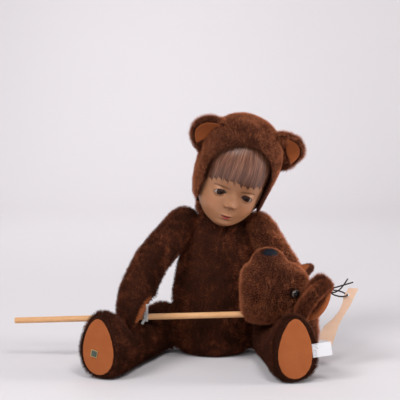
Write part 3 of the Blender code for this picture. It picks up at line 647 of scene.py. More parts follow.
skullStations = (  # height, centre to the left and to the back, half width and half depth, in mm
    (-65.2, -2.4, -37, 0.4, 0.4), (-64.6, -2.4, -37, 6, 6), (-62.4, -2.4, -34, 14, 13),
    (-56, -2.1, -25, 27, 25), (-44, -1.5, -14, 37.5, 37), (-30, -0.7, -5, 42.7, 45),
    (-12, 0, 1, 44.8, 52), (8, 0, 2, 46, 55), (28, 0, 1, 45.5, 51), (46, 0, 0, 38, 42),
    (58, 0, 0, 26.5, 29), (64, 0, 0, 13.5, 15), (66, 0, 0, 6, 7), (66.7, 0, 0, 0.4, 0.4),
)
skullSettings = {
    "rings": (2, 2, 6, 24, 28, 36, 30, 12, 10, 8, 6, 2, 2),  # from each height to the next
    "right": (-180, -42.5, 2.5),  # degrees round the head: from, to, step
    "face": (-42, 42.01, 0.7),
    "left": (44.5, 179, 2.5),
    "perDegree": 0.8,  # mm round the head
}
faceRelief = (  # centre across and up, spread across and up, push to the front, in mm
    (0, -17, 3.8, 8, 3.5), (0, -26, 6.0, 5.0, 6.5), (0, -43, 11, 7, 1.8), (0, -57, 10, 5, 2.5),
    (-23, -34, 11, 11, 2.4), (23, -34, 11, 11, 2.4), (-17.5, -14, 9, 6, -3.4), (17.5, -14, 9, 6, -3.4),
    (0, 20, 22, 16, 1.5), (-5.6, -28.6, 2.8, 2.6, 2.6), (5.6, -28.6, 2.8, 2.6, 2.6),
    (-2.7, -31.6, 1.3, 1.0, -1.6), (2.7, -31.6, 1.3, 1.0, -1.6), (0, -36.5, 1.5, 3.2, -0.7),
    (-2.9, -42.2, 3.0, 1.4, 1.0), (2.9, -42.2, 3.0, 1.4, 1.0), (0, -42.6, 5.5, 1.6, 0.5),
    (0, -47.0, 4.6, 1.8, 1.8), (0, -50.6, 5.0, 1.6, -0.9),
)
eyeSettings = {
    "across": 17.5, "up": -14.0, "slope": math.radians(13), "radius": 9.5, "centre": -38.3,
    "halfWidth": 8.0, "above": 4.1, "below": 3.2, "lid": 0.8, "skew": 0.12, "sunk": 3.4, "lashes": 0.55,
    "crease": 0.5, "creaseUp": 2.4, "creaseWidth": 0.7, "creaseReach": 8.5,
}
farAway = 9.0  # mm, past any lash or iris
mouthSettings = {
    "below": 44.4, "half": 7.2, "groove": 1.3, "width": 0.7, "upper": 2.9, "lower": 3.9, "curve": 0.012,
    "bow": 0.35, "reach": 7.4,
}
browSettings = {"start": 6.0, "span": 21.0, "up": -4.4, "rise": 3.4, "fall": 6.6, "wide": 1.35}
cheekSettings = {"across": 24, "up": -33, "wide": 11, "tall": 9}
hairSettings = {"start": 1.0, "slope": 2.0, "raised": 0.5, "streaks": 0.16}
fringeEdge = (  # degrees round the head from the front, height of the hair's edge in mm
    (-180, -45), (-90, -42), (-70, -30), (-60, -15), (-38.6, 1.0), (-23.8, 4.5), (-10.4, 8.0), (-2.1, 6.6),
    (6.7, 5.0), (16.8, 3.2), (30, 2.6), (45, 2.5), (58, -5), (70, -22), (90, -40), (180, -45),
)


def splineRows(stations, counts):
    points = np.array(stations, float)
    padded = np.vstack([2 * points[0] - points[1], points, 2 * points[-1] - points[-2]])
    rows = []
    for spot, count in enumerate(counts):
        p0, p1, p2, p3 = padded[spot:spot + 4]
        for step in range(count):
            t = step / count
            rows.append(0.5 * (
                2 * p1 + (p2 - p0) * t + (2 * p0 - 5 * p1 + 4 * p2 - p3) * t ** 2
                + (3 * p1 - p0 - 3 * p2 + p3) * t ** 3
            ))
    rows.append(points[-1])
    return np.array(rows)


def eyeShape(x, z, side):  # place across the lid opening, and its size there, 1 on the lids' edge
    shift = x - side * eyeSettings["across"]
    lift = z - eyeSettings["up"]
    c, s = math.cos(eyeSettings["slope"]), math.sin(eyeSettings["slope"])
    across = (shift * c * side - lift * s) * side
    up = shift * s * side + lift * c
    share = np.clip(across * side / eyeSettings["halfWidth"], -1, 1)
    skew = share - eyeSettings["skew"] * (1 - share ** 2)
    arch = np.maximum(1 - skew ** 2, 1e-4)
    edge = np.where(up > 0, eyeSettings["above"] * arch ** 0.75, -eyeSettings["below"] * arch ** 0.9)
    inside = np.where(np.abs(across) < eyeSettings["halfWidth"], up / edge, farAway)
    return across, up, inside, edge


def shapeLids(x, y, z, side):  # one eye's lids, crease and sunk opening, and the way to its lashes
    across, up, inside, edge = eyeShape(x, z, side)
    reach = eyeSettings["radius"] + eyeSettings["lid"]
    room = reach ** 2 - (x - side * eyeSettings["across"]) ** 2 - (z - eyeSettings["up"]) ** 2
    lidY = eyeSettings["centre"] - np.sqrt(np.maximum(room, 0))
    near = (room > 0) & (y < 0)
    y = np.where(near & (inside >= 1), np.minimum(y, lidY), y)
    high = (up - np.abs(edge) - eyeSettings["creaseUp"]) / eyeSettings["creaseWidth"]
    crease = np.exp(-high ** 2) * (up > 0) * (np.abs(across) < eyeSettings["creaseReach"])
    y += np.where(near, eyeSettings["crease"] * crease, 0)
    y = np.where(near & (inside < 1), lidY + eyeSettings["sunk"], y)
    rim = np.abs(inside - 1) * np.abs(edge) - eyeSettings["lashes"] * (up > 0)
    beyond = np.abs(across) - eyeSettings["halfWidth"]
    rim = np.where(beyond < 0, rim, np.hypot(beyond, up) + 0.2)
    return y, np.where(near, rim, farAway)


def raiseHair(x, y, z, degrees, edges, rows):  # lifts the moulded hair off the skull, in streaks
    hair = np.clip((z - edges - hairSettings["start"]) / hairSettings["slope"], 0, 1)
    streak = np.sin(degrees * 1.9 + 2.2 * np.sin(degrees * 0.37)) + 0.6 * np.sin(degrees * 4.3)
    grow = hair * (hairSettings["raised"] + hairSettings["streaks"] * streak)
    outX = x / rows[:, 3:4] ** 2
    outY = (y - rows[:, 2:3]) / rows[:, 4:5] ** 2
    length = np.hypot(outX, outY) + 1e-9
    return x + grow * outX / length, y + grow * outY / length


def mouthMasks(x, line, mouth):  # the painted lips and the dark line between them
    half = mouthSettings["half"]
    lips = np.clip(1 - (x / half) ** 2, 0, 1)
    above = mouthSettings["upper"] * lips ** 0.6 + 0.6 * np.exp(-((np.abs(x) - 2.6) / 1.6) ** 2)
    below = mouthSettings["lower"] * lips ** 0.7
    mask = np.where(line > 0, 1 - line / np.maximum(above, 1e-3), 1 + line / np.maximum(below, 1e-3))
    return np.clip(mask * lips * 2.5, 0, 1), np.exp(-mouth ** 2) * (np.abs(x) < half)


def cheekMask(x, z):
    across, up, wide, tall = cheekSettings.values()
    return sum(np.exp(-((x - side * across) / wide) ** 2 - ((z - up) / tall) ** 2) for side in (-1, 1))


def browMask(x, z):
    start, span, up, rise, fall, wide = browSettings.values()
    brow = np.zeros_like(x)
    for side in (-1, 1):
        share = (x * side - start) / span
        middle = up + rise * share - fall * share ** 2
        width = wide * np.sqrt(np.clip(share * 3 * (1.08 - share), 0, 1))
        within = (share > 0) & (share < 1.05)
        brow = np.maximum(brow, within * np.exp(-((z - middle) / np.maximum(width, 0.05)) ** 2))
    return brow


def makeDollHead():
    rows = splineRows(skullStations, skullSettings["rings"])
    parts = [np.arange(*skullSettings[part]) for part in ("right", "face", "left")]
    turns = np.radians(np.concatenate(parts))
    z = np.repeat(rows[:, 0:1], len(turns), 1)
    x = rows[:, 1:2] + rows[:, 3:4] * np.sin(turns)
    y = rows[:, 2:3] - rows[:, 4:5] * np.cos(turns)
    degrees = np.repeat(np.degrees(turns)[None], len(rows), 0)
    front = np.clip(1.2 * np.cos(turns), 0, 1)[None] * np.ones_like(x)
    for across, up, wide, tall, push in faceRelief:
        y -= front * push * np.exp(-((x - across) / wide) ** 2 - ((z - up) / tall) ** 2)
    line = z + mouthSettings["below"]
    bowed = line - mouthSettings["curve"] * x ** 2 + mouthSettings["bow"] * np.cos(x * 0.9)
    mouth = np.abs(bowed) / mouthSettings["width"]
    ends = np.clip(1.25 - (x / mouthSettings["reach"]) ** 2, 0, 1)
    y += front * mouthSettings["groove"] * np.exp(-mouth ** 2) * ends
    lash = np.full_like(x, farAway)
    for side in (-1, 1):
        y, rim = shapeLids(x, y, z, side)
        lash = np.minimum(lash, rim)
    edges = np.interp(degrees, *zip(*fringeEdge))
    x, y = raiseHair(x, y, z, degrees, edges, rows)
    bm = bmesh.new()
    skinRows(bm, [[bm.verts.new(point) for point in zip(*ring)] for ring in zip(x, y, z)])
    head = meshObject("dollHead", bm)
    head.data.transform(skullPlace)
    lips, seam = mouthMasks(x, line, mouth)
    values = {
        "fringe": z - edges, "round": degrees * skullSettings["perDegree"], "level": z, "lips": lips,
        "seam": seam, "brow": browMask(x, z), "lash": lash, "cheek": cheekMask(x, z) * front,
    }
    for name, grid in values.items():
        storeValue(head, name, grid.ravel().astype(np.float32))
    finishPiece(head, "head", dollPaint(), ["doll_head"])


paintSettings = {  # each layer's share and colour, from the skin up
    "cheek": (0.25, (0.50, 0.18, 0.09, 1)), "lips": (0.95, (0.27, 0.034, 0.024, 1)),
    "seam": (0.9, (0.055, 0.012, 0.010, 1)), "brow": (0.8, (0.060, 0.024, 0.013, 1)),
}
fringeSettings = {
    "slant": 0.5, "sway": 14.0, "tooth": 4.6, "toothRise": 3.0, "tuft": 0.8, "tuftRise": 2.6, "soft": 1.1,
}


def dollPaint():
    material, tree, shader = startMaterial("dollPaint")

    def maths(operation, first, second):
        return addNode(tree, "ShaderNodeMath", {0: first, 1: second}, operation=operation).outputs[0]

    def times(first, second):
        return maths("MULTIPLY", first, second)

    def plus(first, second):
        return maths("ADD", first, second)

    mottle = noiseAt(tree, objectPlace(tree), 60.0, 3)["Fac"]
    skin = ramp(tree, mottle, ((0.35, (0.335, 0.150, 0.072)), (0.65, (0.385, 0.178, 0.088))))
    for name, (share, colour) in paintSettings.items():
        skin = mixColour(tree, times(readValue(tree, name), share), skin, colour)
    lash = times(stepBetween(tree, readValue(tree, "lash"), 0.8, 0.2), 0.85)
    skin = mixColour(tree, lash, skin, (0.03, 0.013, 0.009, 1))
    around = readValue(tree, "round")
    level = readValue(tree, "level")
    strands = addNode(tree, "ShaderNodeCombineXYZ", {0: around, 1: times(level, 0.05), 2: 0.0}).outputs[0]
    locks = noiseAt(tree, strands, 0.22, 1)["Fac"]
    hairs = noiseAt(tree, strands, 1.1, 4)["Fac"]
    tone = plus(times(locks, 0.45), times(hairs, 0.55))
    tone = plus(tone, times(stepBetween(tree, level, 0.0, 45.0), 0.09))  # paler towards the crown: painted light from above
    hair = ramp(tree, maths("SUBTRACT", tone, 0.055), (
        (0.32, (0.045, 0.015, 0.007)), (0.46, (0.105, 0.038, 0.019)), (0.55, (0.165, 0.064, 0.034)),
        (0.68, (0.30, 0.135, 0.083)),
    ))
    swayed = plus(plus(around, times(level, fringeSettings["slant"])), times(locks, fringeSettings["sway"]))
    teeth = maths("PINGPONG", swayed, fringeSettings["tooth"])
    teeth = times(teeth, times(hairs, fringeSettings["toothRise"]))
    tufts = maths("PINGPONG", plus(swayed, times(hairs, 4.0)), fringeSettings["tuft"])
    rise = plus(teeth, times(tufts, fringeSettings["tuftRise"]))
    height = plus(maths("SUBTRACT", readValue(tree, "fringe"), fringeSettings["tooth"]), rise)
    mask = stepBetween(tree, height, -fringeSettings["soft"], fringeSettings["soft"])
    setSockets(shader, {
        "Base Color": mixColour(tree, mask, skin, hair), "Roughness": mixValue(tree, mask, 0.45, 0.4),
        "Specular IOR Level": 0.28, "Subsurface Weight": 0.08, "Subsurface Radius": (0.004, 0.0015, 0.0008),
        "Coat Weight": mixValue(tree, mask, 0.15, 0.35), "Coat Roughness": 0.24, "Coat IOR": 1.7,
        "Normal": bump(tree, times(hairs, mask), 0.3, 0.0012),
    })
    return material


def makeDollEye(node, side):
    bm = bmesh.new()
    radius = eyeSettings["radius"]
    bmesh.ops.create_uvsphere(bm, u_segments=48, v_segments=32, radius=radius)
    centre = Vector((side * eyeSettings["across"], eyeSettings["centre"], eyeSettings["up"]))
    gaze = []
    for vert in bm.verts:
        gaze.append(math.hypot(vert.co.x + 0.4 * side, vert.co.z) if vert.co.y < 0 else farAway)
        vert.co += centre
    eye = meshObject(camel(node), bm)
    eye.data.transform(skullPlace)
    storeValue(eye, "gaze", gaze)
    finishPiece(eye, "head", eyePaint, [node])


def eyeMaterial():
    material, tree, shader = startMaterial("eyeGlass")
    gaze = readValue(tree, "gaze")
    flecks = noiseAt(tree, objectPlace(tree), 1800.0)["Fac"]
    brown = ramp(tree, flecks, ((0.35, (0.022, 0.007, 0.003)), (0.65, (0.060, 0.018, 0.008))))
    share = addNode(tree, "ShaderNodeMath", {0: gaze, 1: 10.0}, operation="DIVIDE").outputs[0]
    rings = ramp(tree, share, (
        (0.20, (0.004, 0.003, 0.003)), (0.23, (1, 1, 1)), (0.45, (1, 1, 1)), (0.51, (0.12, 0.10, 0.10)),
    ))
    iris = mixColour(tree, 1.0, brown, rings, "MULTIPLY")
    outside = stepBetween(tree, gaze, 5.2, 5.6)
    setSockets(shader, {
        "Base Color": mixColour(tree, outside, iris, (0.42, 0.35, 0.32, 1)), "Roughness": 0.15,
        "Specular IOR Level": 0.05, "Coat Weight": 0.3, "Coat Roughness": 0.04,
    })
    return material


eyePaint = eyeMaterial()


def lathe(name, profile, sides, frameMatrix):  # a closed ring profile spun about Z, in mm
    bm = bmesh.new()
    verts = [bm.verts.new((radius, 0, height)) for radius, height in profile]
    edges = [bm.edges.new((verts[spot - 1], verts[spot])) for spot in range(len(verts))]
    bmesh.ops.spin(
        bm, geom=verts + edges, axis=(0, 0, 1), cent=(0, 0, 0), angle=2 * math.pi, steps=sides, use_merge=True
    )
    bmesh.ops.remove_doubles(bm, verts=bm.verts, dist=1e-4)
    bmesh.ops.recalc_face_normals(bm, faces=bm.faces)
    obj = meshObject(name, bm, 30)
    obj.data.transform(frameMatrix @ Matrix.Scale(mm, 4))
    return obj


neckSettings = {"radius": 22.0, "mouth": 9.0, "bore": 3.2, "top": 34.0, "steps": 8}


def makeNeck():
    radius, bore, top, steps = (neckSettings[key] for key in ("radius", "bore", "top", "steps"))
    start = math.asin(neckSettings["mouth"] / radius)
    turns = [start + (math.pi / 2 - start) * step / steps for step in range(steps + 1)]
    profile = [(radius * math.sin(turn), -radius * math.cos(turn)) for turn in turns]
    profile += [(radius, top), (bore, top), (bore, 0)]
    neck = lathe("dollNeck", profile, 48, Matrix.Translation(neckPoint) @ Matrix.Rotation(neckLean, 4, "Y"))
    material, tree, shader = startMaterial("neckVinyl")
    mottle = noiseAt(tree, objectPlace(tree), 60.0)["Fac"]
    tan = ramp(tree, mottle, ((0.35, (0.335, 0.143, 0.070)), (0.65, (0.385, 0.168, 0.086))))
    setSockets(shader, {"Base Color": tan, "Roughness": 0.5})
    finishPiece(neck, "head", material)


makeDollHead()
makeDollEye("doll_eye_right", -1)
makeDollEye("doll_eye_left", 1)
makeNeck()
print("doll head made")


# hood and its ears

hoodSettings = {
    "voxel": 0.0018, "smooth": 6, "lumps": (0.5 * mm, 45, 8), "fill": 0.5,
    "perCm2": 120, "length": 3.4, "lift": 0.65, "wild": 1.3, "swirl": 90, "seed": 31, "pale": 0.5,
}


def makeHood():
    form = nodeCopy("hoodPlush", "hood")
    soften(form, hoodSettings)
    lumps(form, *hoodSettings["lumps"])
    stuffed(form, "head", hoodSettings["fill"], "hood")

    def comb(co, normal):
        local = toSkull @ co
        away = Vector((local.x * 1.4, 0.5 * abs(local.y) + 0.01, -0.03))
        return onSkin((skullFrame.to_3x3() @ away).normalized() * 0.8, normal)

    def cover(co, normal):
        outward = (co - skullCentre).normalized().dot(normal)
        return min(1.0, max(0.0, (outward + 0.1) * 3))

    def trim(co, normal):  # shorter along the hood's left cheek, fuller along the right one
        local = (toSkull @ co) / mm
        low = min(1.0, max(0.0, (10 - local.z) / 25))
        outward = (co - skullCentre).normalized().dot(normal)
        short = min(1.0, 0.4 + 0.75 * max(0.0, outward))
        return short * (1 - 0.6 * low if local.x > 0 else 1 + 0.35 * low)

    growPile(form, "hoodPile", "head", hoodSettings, comb, cover, trim)


makeHood()
print("hood made")

collarSettings = {
    "fill": 0.8, "perCm2": 100, "length": 4.8, "lift": 0.8, "wild": 0.7, "swirl": 60, "seed": 35,
}
collarShape = {
    "ring": 29.0, "wider": 5.0, "across": 5.0, "up": 10.0, "drop": 6.0, "reach": math.radians(138),
    "half": 24, "sides": 20,
}


def makeCollar():  # the suit's stuffed neckline, open under the chin
    bm = bmesh.new()
    rows = []
    ring, wider, across, up, drop, reach, half, sides = collarShape.values()
    for step in range(2 * half + 1):
        turn = reach * (step / half - 1)
        taper = min(1.0, (1 - abs(step / half - 1)) * 4 + 0.35)
        row = []
        for spot in range(sides):
            angle = 2 * math.pi * spot / sides
            out = ring + wider * max(0, math.sin(turn)) + across * taper * math.cos(angle)
            high = up * taper * math.sin(angle) - drop
            row.append(bm.verts.new((out * math.sin(turn), out * math.cos(turn), high)))
        rows.append(row)
    skinRows(bm, rows)
    form = meshObject("suitCollar", bm)
    placed = Matrix.Translation(neckPoint) @ Matrix.Rotation(neckLean / 2, 4, "Y")
    form.data.transform(placed @ Matrix.Scale(mm, 4))
    stuffed(form, "torso", collarSettings["fill"])
    cover = nearTest(["arm_left"], 5.0)
    growPile(form, "suitCollarPile", "torso", collarSettings, along((0, 0, -1), 0.6), cover)


makeCollar()
print("collar made")

earSettings = {
    "voxel": 0.0011, "smooth": 4, "rise": 2.4 * mm, "fill": 0.3, "lining": {"voxel": 0.0007, "smooth": 6},
    "perCm2": 150, "length": 5.0, "lift": 0.75, "wild": 1.1, "swirl": 90, "pale": 0.3,
}


def makeEar(node, body, lap, settings, fuller=None):
    tag = camel(node)
    form = nodeCopy(tag + "Plush", node)
    pad = nodeCopy(tag + "Lining", node + "_lining")
    if fuller:
        joinMesh(form, makeBall("earFill", *fuller["plush"]))
        joinMesh(pad, makeBall("liningFill", *fuller["lining"]))
    soften(form, settings)
    cover = None
    if lap:
        cover, rise = crescent(node + "_lining", *lap)
        rise(form, settings["rise"])
    stuffed(form, body, settings["fill"], node)
    growPile(form, tag + "Pile", body, settings, awayFrom(boxMiddle(node), 0.8), cover)
    soften(pad, settings["lining"])
    finishPiece(pad, body, felt, [node + "_lining"])


hobbyEarFill = {
    "plush": ((131, -110, 99), (14, 9, 26), math.radians(21)),
    "lining": ((133, -107, 90), (15, 8, 27), math.radians(25)),
}
makeEar("hood_ear_right", "head", ((-0.6, 0, 0.8), 1.5, 0.006), {**earSettings, "seed": 41})
makeEar("hood_ear_left", "head", ((0.9, 0, 0.2), 0.5, 0.006), {**earSettings, "seed": 42})
hobbyEar = {**earSettings, "pale": 0.0}
nearEar = {**hobbyEar, "seed": 43, "length": 4.6}
makeEar("hobby_ear_right", "hobby_bear", ((0.8, 0, -0.6), 6, 0.0), nearEar, hobbyEarFill)
makeEar("hobby_ear_left", "hobby_bear", None, {**hobbyEar, "seed": 44, "length": 2.4})
print("ears made")


# hobby bear head

hobbySettings = {
    "voxel": 0.0022, "smooth": 8, "fill": 0.9, "bare": 3.2, "muzzle": 0.45, "muzzleReach": 0.05,
    "perCm2": 115, "length": 5.2, "lift": 0.75, "wild": 1.9, "swirl": 80, "seed": 51, "pale": 0.45,
}


def makeHobbyHead():
    form = nodeCopy("hobbyHeadPlush", "hobby_head")
    soften(form, hobbySettings)
    stuffed(form, "hobby_bear", hobbySettings["fill"], "hobby_head")
    nose = boxMiddle("hobby_nose")
    cover = nearTest(["hobby_nose", "hobby_eye_right", "hobby_eye_left"], hobbySettings["bare"])
    least = hobbySettings["muzzle"]

    def trim(co, normal):  # shorter on the muzzle
        return least + (1 - least) * min(1.0, (co - nose).length / hobbySettings["muzzleReach"])

    growPile(form, "hobbyHeadPile", "hobby_bear", hobbySettings, awayFrom(nose, 0.9), cover, trim)


makeHobbyHead()
print("hobby head made")


# felt pads

padSettings = {"voxel": 0.0008, "smooth": 6, "crown": 2.2 * mm, "taller": 1.06}


def makePad(node, body, crown=Vector(), stretch=1.0):
    pad = nodeCopy(camel(node), node)
    soften(pad, padSettings)
    low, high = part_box(node)
    middle = boxMiddle(node)
    reach = (Vector(high) - Vector(low)).length / 2
    for vert in pad.data.vertices:
        span = min(1.0, (vert.co - middle).length / reach)
        vert.co += crown * (1 - span * span)
        vert.co.z = low[2] + (vert.co.z - low[2]) * stretch
    finishPiece(pad, body, felt, [node])


makePad("foot_pad_right", "leg_right", rightSole * padSettings["crown"])
makePad("foot_pad_left", "leg_left", leftSole * padSettings["crown"], padSettings["taller"])
makePad("paw_pad_right", "arm_right")
makePad("paw_pad_left", "arm_left")
print("pads made")


# hobby bear's nose and eyes

thread = fibreMaterial("noseThread", {
    "stops": ((0.3, (0.003, 0.004, 0.007)), (0.55, (0.006, 0.008, 0.014)), (0.8, (0.015, 0.018, 0.030))),
    "fine": 900, "slow": 60, "mottle": 0.2, "stretch": (1.6, 0.15, 0.15), "roughness": 0.6, "specular": 0.12,
    "bump": 0.9, "depth": 0.0008,
})
noseSettings = {"centre": (74.2, -94.5, 146.8), "spans": (9.8, 6.5, 7.8)}
nose = makeBall("hobbyNose", **noseSettings)
finishPiece(nose, "hobby_bear", thread, ["hobby_nose"])


def beadMaterial():
    material, tree, shader = startMaterial("beadGlass")
    flecks = noiseAt(tree, objectPlace(tree), 1500.0)["Fac"]
    flecked = {0: flecks, 1: 0.12, 2: readValue(tree, "gaze")}
    stray = addNode(tree, "ShaderNodeMath", flecked, operation="MULTIPLY_ADD").outputs[0]
    rings = ramp(tree, stray, (
        (0.55, (0.003, 0.002, 0.002)), (0.62, (0.060, 0.034, 0.024)), (0.84, (0.075, 0.045, 0.034)),
        (0.94, (0.006, 0.003, 0.003)),
    ))
    setSockets(shader, {
        "Base Color": rings, "Roughness": 0.12, "Specular IOR Level": 0.05, "Coat Weight": 0.7,
        "Coat Roughness": 0.03,
    })
    return material


bead = beadMaterial()


def makeBead(node, centre, radius, facing):
    eye = makeBall(camel(node), centre, (radius, radius, radius))
    facing = Vector(facing).normalized()
    middle = Vector(centre) * mm
    gaze = [(vert.co - middle).normalized().angle(facing) / 1.3 for vert in eye.data.vertices]
    storeValue(eye, "gaze", gaze)
    finishPiece(eye, "hobby_bear", bead, [node])


makeBead("hobby_eye_right", (104.5, -114.5, 100.7), 6.3, (0.35, -0.93, 0.05))
makeBead("hobby_eye_left", (108.0, -61.4, 101.4), 5.2, (0.7, 0.7, 0.1))
print("nose and eyes made")


# stick, band, tag, labels and joints

def dress(material, *nodes):  # node materials for the CAD pieces that stay
    for node in nodes:
        mesh = frame["nodes"][node].data
        mesh.materials.clear()
        mesh.materials.append(material)


beech = fibreMaterial("beechWood", {
    "stops": ((0.3, (0.58, 0.285, 0.125)), (0.5, (0.70, 0.38, 0.180)), (0.72, (0.78, 0.46, 0.235))),
    "fine": 1500, "slow": 260, "mottle": 0.5, "stretch": (0.03, 1, 1), "roughness": 0.55, "specular": 0.25,
    "bump": 0.15, "depth": 0.0004,
})
elastic = fibreMaterial("wovenElastic", {
    "stops": ((0.3, (0.76, 0.75, 0.72)), (0.7, (0.90, 0.90, 0.87))),
    "fine": 2600, "slow": 300, "mottle": 0.2, "roughness": 0.8, "specular": 0.1, "bump": 0.5, "depth": 0.0004,
})
satin = fibreMaterial("labelSatin", {
    "stops": ((0.3, (0.72, 0.72, 0.75)), (0.7, (0.82, 0.82, 0.85))),
    "fine": 3200, "slow": 120, "mottle": 0.4, "roughness": 0.45, "specular": 0.35, "sheen": 0.2, "bump": 0.2,
    "depth": 0.0003,
})
card = fibreMaterial("tagCard", {
    "stops": ((0.3, (0.71, 0.465, 0.33)), (0.55, (0.78, 0.52, 0.375)), (0.8, (0.83, 0.57, 0.42))),
    "fine": 900, "slow": 70, "mottle": 0.6, "roughness": 0.8, "specular": 0.1, "bump": 0.1, "depth": 0.0003,
})
ribbon = fibreMaterial("tieRibbon", {
    "stops": ((0.3, (0.018, 0.016, 0.014)), (0.7, (0.055, 0.046, 0.040))),
    "fine": 2600, "slow": 200, "mottle": 0.3, "roughness": 0.7, "specular": 0.1, "bump": 0.4, "depth": 0.0003,
})
hardboard = fibreMaterial("pressedHardboard", {
    "stops": ((0.3, (0.20, 0.115, 0.055)), (0.7, (0.34, 0.21, 0.11))),
    "fine": 1100, "slow": 90, "mottle": 0.35, "roughness": 0.8, "specular": 0.15, "bump": 0.3,
    "depth": 0.0004,
})
dress(beech, "stick")
dress(satin, "sewn_label")
dress(card, "swing_tag")
dress(hardboard, *[node for node in frame["nodes"] if node.endswith("_disc")])


def metalMaterial(name, colour, roughness):
    material, tree, shader = startMaterial(name)
    wear = noiseAt(tree, objectPlace(tree), 900.0, 4)["Fac"]
    worn = ramp(tree, wear, ((0.3, tuple(0.75 * part for part in colour)), (0.7, colour)))
    reach = {"Value": wear, "To Min": roughness, "To Max": roughness + 0.2}
    rough = addNode(tree, "ShaderNodeMapRange", reach).outputs["Result"]
    setSockets(shader, {"Base Color": worn, "Metallic": 1.0, "Roughness": rough})
    return material


steel = metalMaterial("brightSteel", (0.55, 0.55, 0.56), 0.3)
gilt = metalMaterial("giltEdge", (0.60, 0.43, 0.20), 0.35)
dress(steel, *[node for node in frame["nodes"] if node.endswith(("_washer", "_pin"))])


def makeStrap(name, points, width, thick):  # a flat ribbon along points, in mm, its width along X
    bm = bmesh.new()
    rows = []
    for spot, point in enumerate(points):
        before = Vector(points[max(spot - 1, 0)])
        after = Vector(points[min(spot + 1, len(points) - 1)])
        tangent = (after - before).normalized()
        side = (Vector((1, 0, 0)) - tangent * tangent.x).normalized()
        out = tangent.cross(side)
        rows.append([
            bm.verts.new(Vector(point) + side * across * width / 2 + out * deep * thick / 2)
            for across, deep in ((-1, -1), (1, -1), (1, 1), (-1, 1))
        ])
    skinRows(bm, rows)
    bmesh.ops.scale(bm, vec=(mm, mm, mm), verts=bm.verts)
    return meshObject(name, bm, 40)


bandSettings = {
    "end": (
        (-84.2, -71.0, 55.6), (-84.0, -74.2, 60.5), (-83.7, -77.5, 66.5), (-83.2, -87.0, 74.0),
        (-82.7, -96.0, 79.5), (-82.5, -99.0, 84.0),
    ),
    "tail": ((-85.5, -73.5, 60.5), (-87.5, -75.0, 58.0), (-89.2, -76.5, 55.5), (-90.2, -77.0, 53.5)),
    "endSize": (3.2, 0.9), "tailSize": (3.4, 0.8),
}


def makeBand():  # the elastic round the stick, its end sewn up the paw and its knot's tail
    band = nodeCopy("wristBand", "wrist_band")
    sewn = [tuple(point) for point in splineRows(bandSettings["end"], (4, 4, 4, 4, 4))]
    joinMesh(band, makeStrap("bandEnd", sewn, *bandSettings["endSize"]))
    joinMesh(band, makeStrap("bandTail", bandSettings["tail"], *bandSettings["tailSize"]))
    finishPiece(band, "arm_right", elastic, ["wrist_band"])


def makeTie():  # the tag's flat ribbon, a little wider than its core
    tie = nodeCopy("tagTie", "tag_tie")
    swell(tie, 0.35 * mm)
    finishPiece(tie, "hobby_bear", ribbon, ["tag_tie"])


badgeSettings = {"edge": 1.1 * mm, "sink": 0.25 * mm, "bevel": 0.12 * mm, "out": 2.1 * mm}


def makeBadge():  # a gilt plate with a sunk enamel field
    edge, sink, bevel, out = badgeSettings.values()
    badge = nodeCopy("footBadge", "foot_badge")
    finishPiece(badge, "leg_right", gilt, ["foot_badge"])
    badge.data.materials.append(enamel)
    bm = openMesh(badge)
    bmesh.ops.dissolve_limit(bm, angle_limit=0.02, verts=bm.verts, edges=bm.edges)
    front = min(bm.faces, key=lambda face: face.calc_center_median().y - 1000 * face.calc_area())
    bmesh.ops.inset_individual(bm, faces=[front], thickness=edge, depth=-sink)
    front.material_index = 1
    corners = [line for line in bm.edges if front not in line.link_faces]
    bmesh.ops.bevel(bm, geom=corners, offset=bevel, affect="EDGES", segments=2, profile=0.5, material=-1)
    bmesh.ops.triangulate(bm, faces=bm.faces)
    storeMesh(bm, badge)
    badge.data.transform(Matrix.Translation(rightSole * out))


enamel = fibreMaterial("badgeEnamel", {
    "stops": ((0.3, (0.025, 0.045, 0.030)), (0.7, (0.085, 0.105, 0.075))),
    "fine": 900, "slow": 320, "mottle": 0.7, "roughness": 0.35, "specular": 0.5, "bump": 0.1, "depth": 0.0002,
})
makeBand()
makeTie()
makeBadge()
print("small pieces made")


# stage, lamps and camera

stageSettings = {"half": 4.0, "back": 1.6, "bend": 0.9, "height": 4.0}


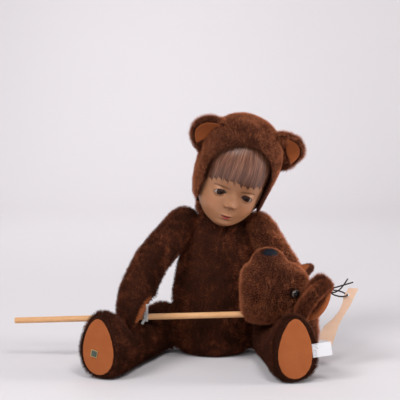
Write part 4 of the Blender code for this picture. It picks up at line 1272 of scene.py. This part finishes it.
def makeStage():  # a paper sweep, bent up behind the toy
    half, back, bend, height = stageSettings.values()
    turns = [math.pi / 2 * step / 12 for step in range(13)]
    profile = [(back + bend * math.sin(turn), bend * (1 - math.cos(turn))) for turn in turns]
    profile = [(-half, 0), *profile, (back + bend, height)]
    bm = bmesh.new()
    verts = [bm.verts.new((-half, y, z)) for y, z in profile]
    edges = [bm.edges.new(pair) for pair in zip(verts, verts[1:])]
    swept = bmesh.ops.extrude_edge_only(bm, edges=edges)["geom"]
    far = [item for item in swept if isinstance(item, bmesh.types.BMVert)]
    bmesh.ops.translate(bm, vec=(2 * half, 0, 0), verts=far)
    bmesh.ops.recalc_face_normals(bm, faces=bm.faces)
    stage = meshObject("paperSweep", bm, 60)
    material, tree, shader = startMaterial("sweepPaper")
    setSockets(shader, {"Base Color": (0.73, 0.70, 0.725, 1), "Roughness": 1.0, "Specular IOR Level": 0.0})
    stage.data.materials.append(material)


makeStage()


def makeLamp(name, place, target, size, power, colour=(1, 1, 1)):
    lamp = bpy.data.lights.new(name, "AREA")
    lamp.shape = "DISK"
    lamp.size = size
    lamp.energy = power
    lamp.color = colour
    obj = makeObject(name, lamp)
    obj.location = place
    obj.rotation_euler = (Vector(target) - Vector(place)).to_track_quat("-Z", "Y").to_euler()


makeLamp("softboxRight", (3.7, -0.3, 0.7), (0, 0, 0.2), 1.2, 104, (1, 0.985, 0.96))
makeLamp("softboxTop", (0.30, -1.3, 1.6), (0, 0, 0.2), 0.6, 14.5)
makeLamp("softboxLeft", (-1.6, -1.7, 2.0), (0, 0, 0.15), 1.2, 43)
makeLamp("softboxFront", (-0.4, -2.3, 1.45), (0, 0, 0.25), 0.4, 7.5)
makeLamp("sweepLight", (-0.3, 1.4, 1.1), (-0.3, 1.4, 0), 1.4, 7.6)

world = bpy.data.worlds.new("studio")
world.use_nodes = True
bpy.context.scene.world = world
setSockets(world.node_tree.nodes["Background"], {"Color": (0.98, 0.97, 1.0, 1), "Strength": 0.22})

cameraSettings = {"distance": 1.5, "elevation": math.radians(6), "target": (-0.015, 0, 0.207), "lens": 100}
camera = makeObject("camera", bpy.data.cameras.new("camera"))
camera.data.lens = cameraSettings["lens"]
camera.data.sensor_width = 36
elevation = cameraSettings["elevation"]
away = Vector((0, -math.cos(elevation), math.sin(elevation))) * cameraSettings["distance"]
camera.location = Vector(cameraSettings["target"]) + away
camera.rotation_euler = (math.pi / 2 - elevation, 0, 0)
bpy.context.scene.camera = camera
bpy.context.scene.view_settings.view_transform = "Standard"

bpy.data.objects.remove(strandMesh)
print("strands", strandCount)
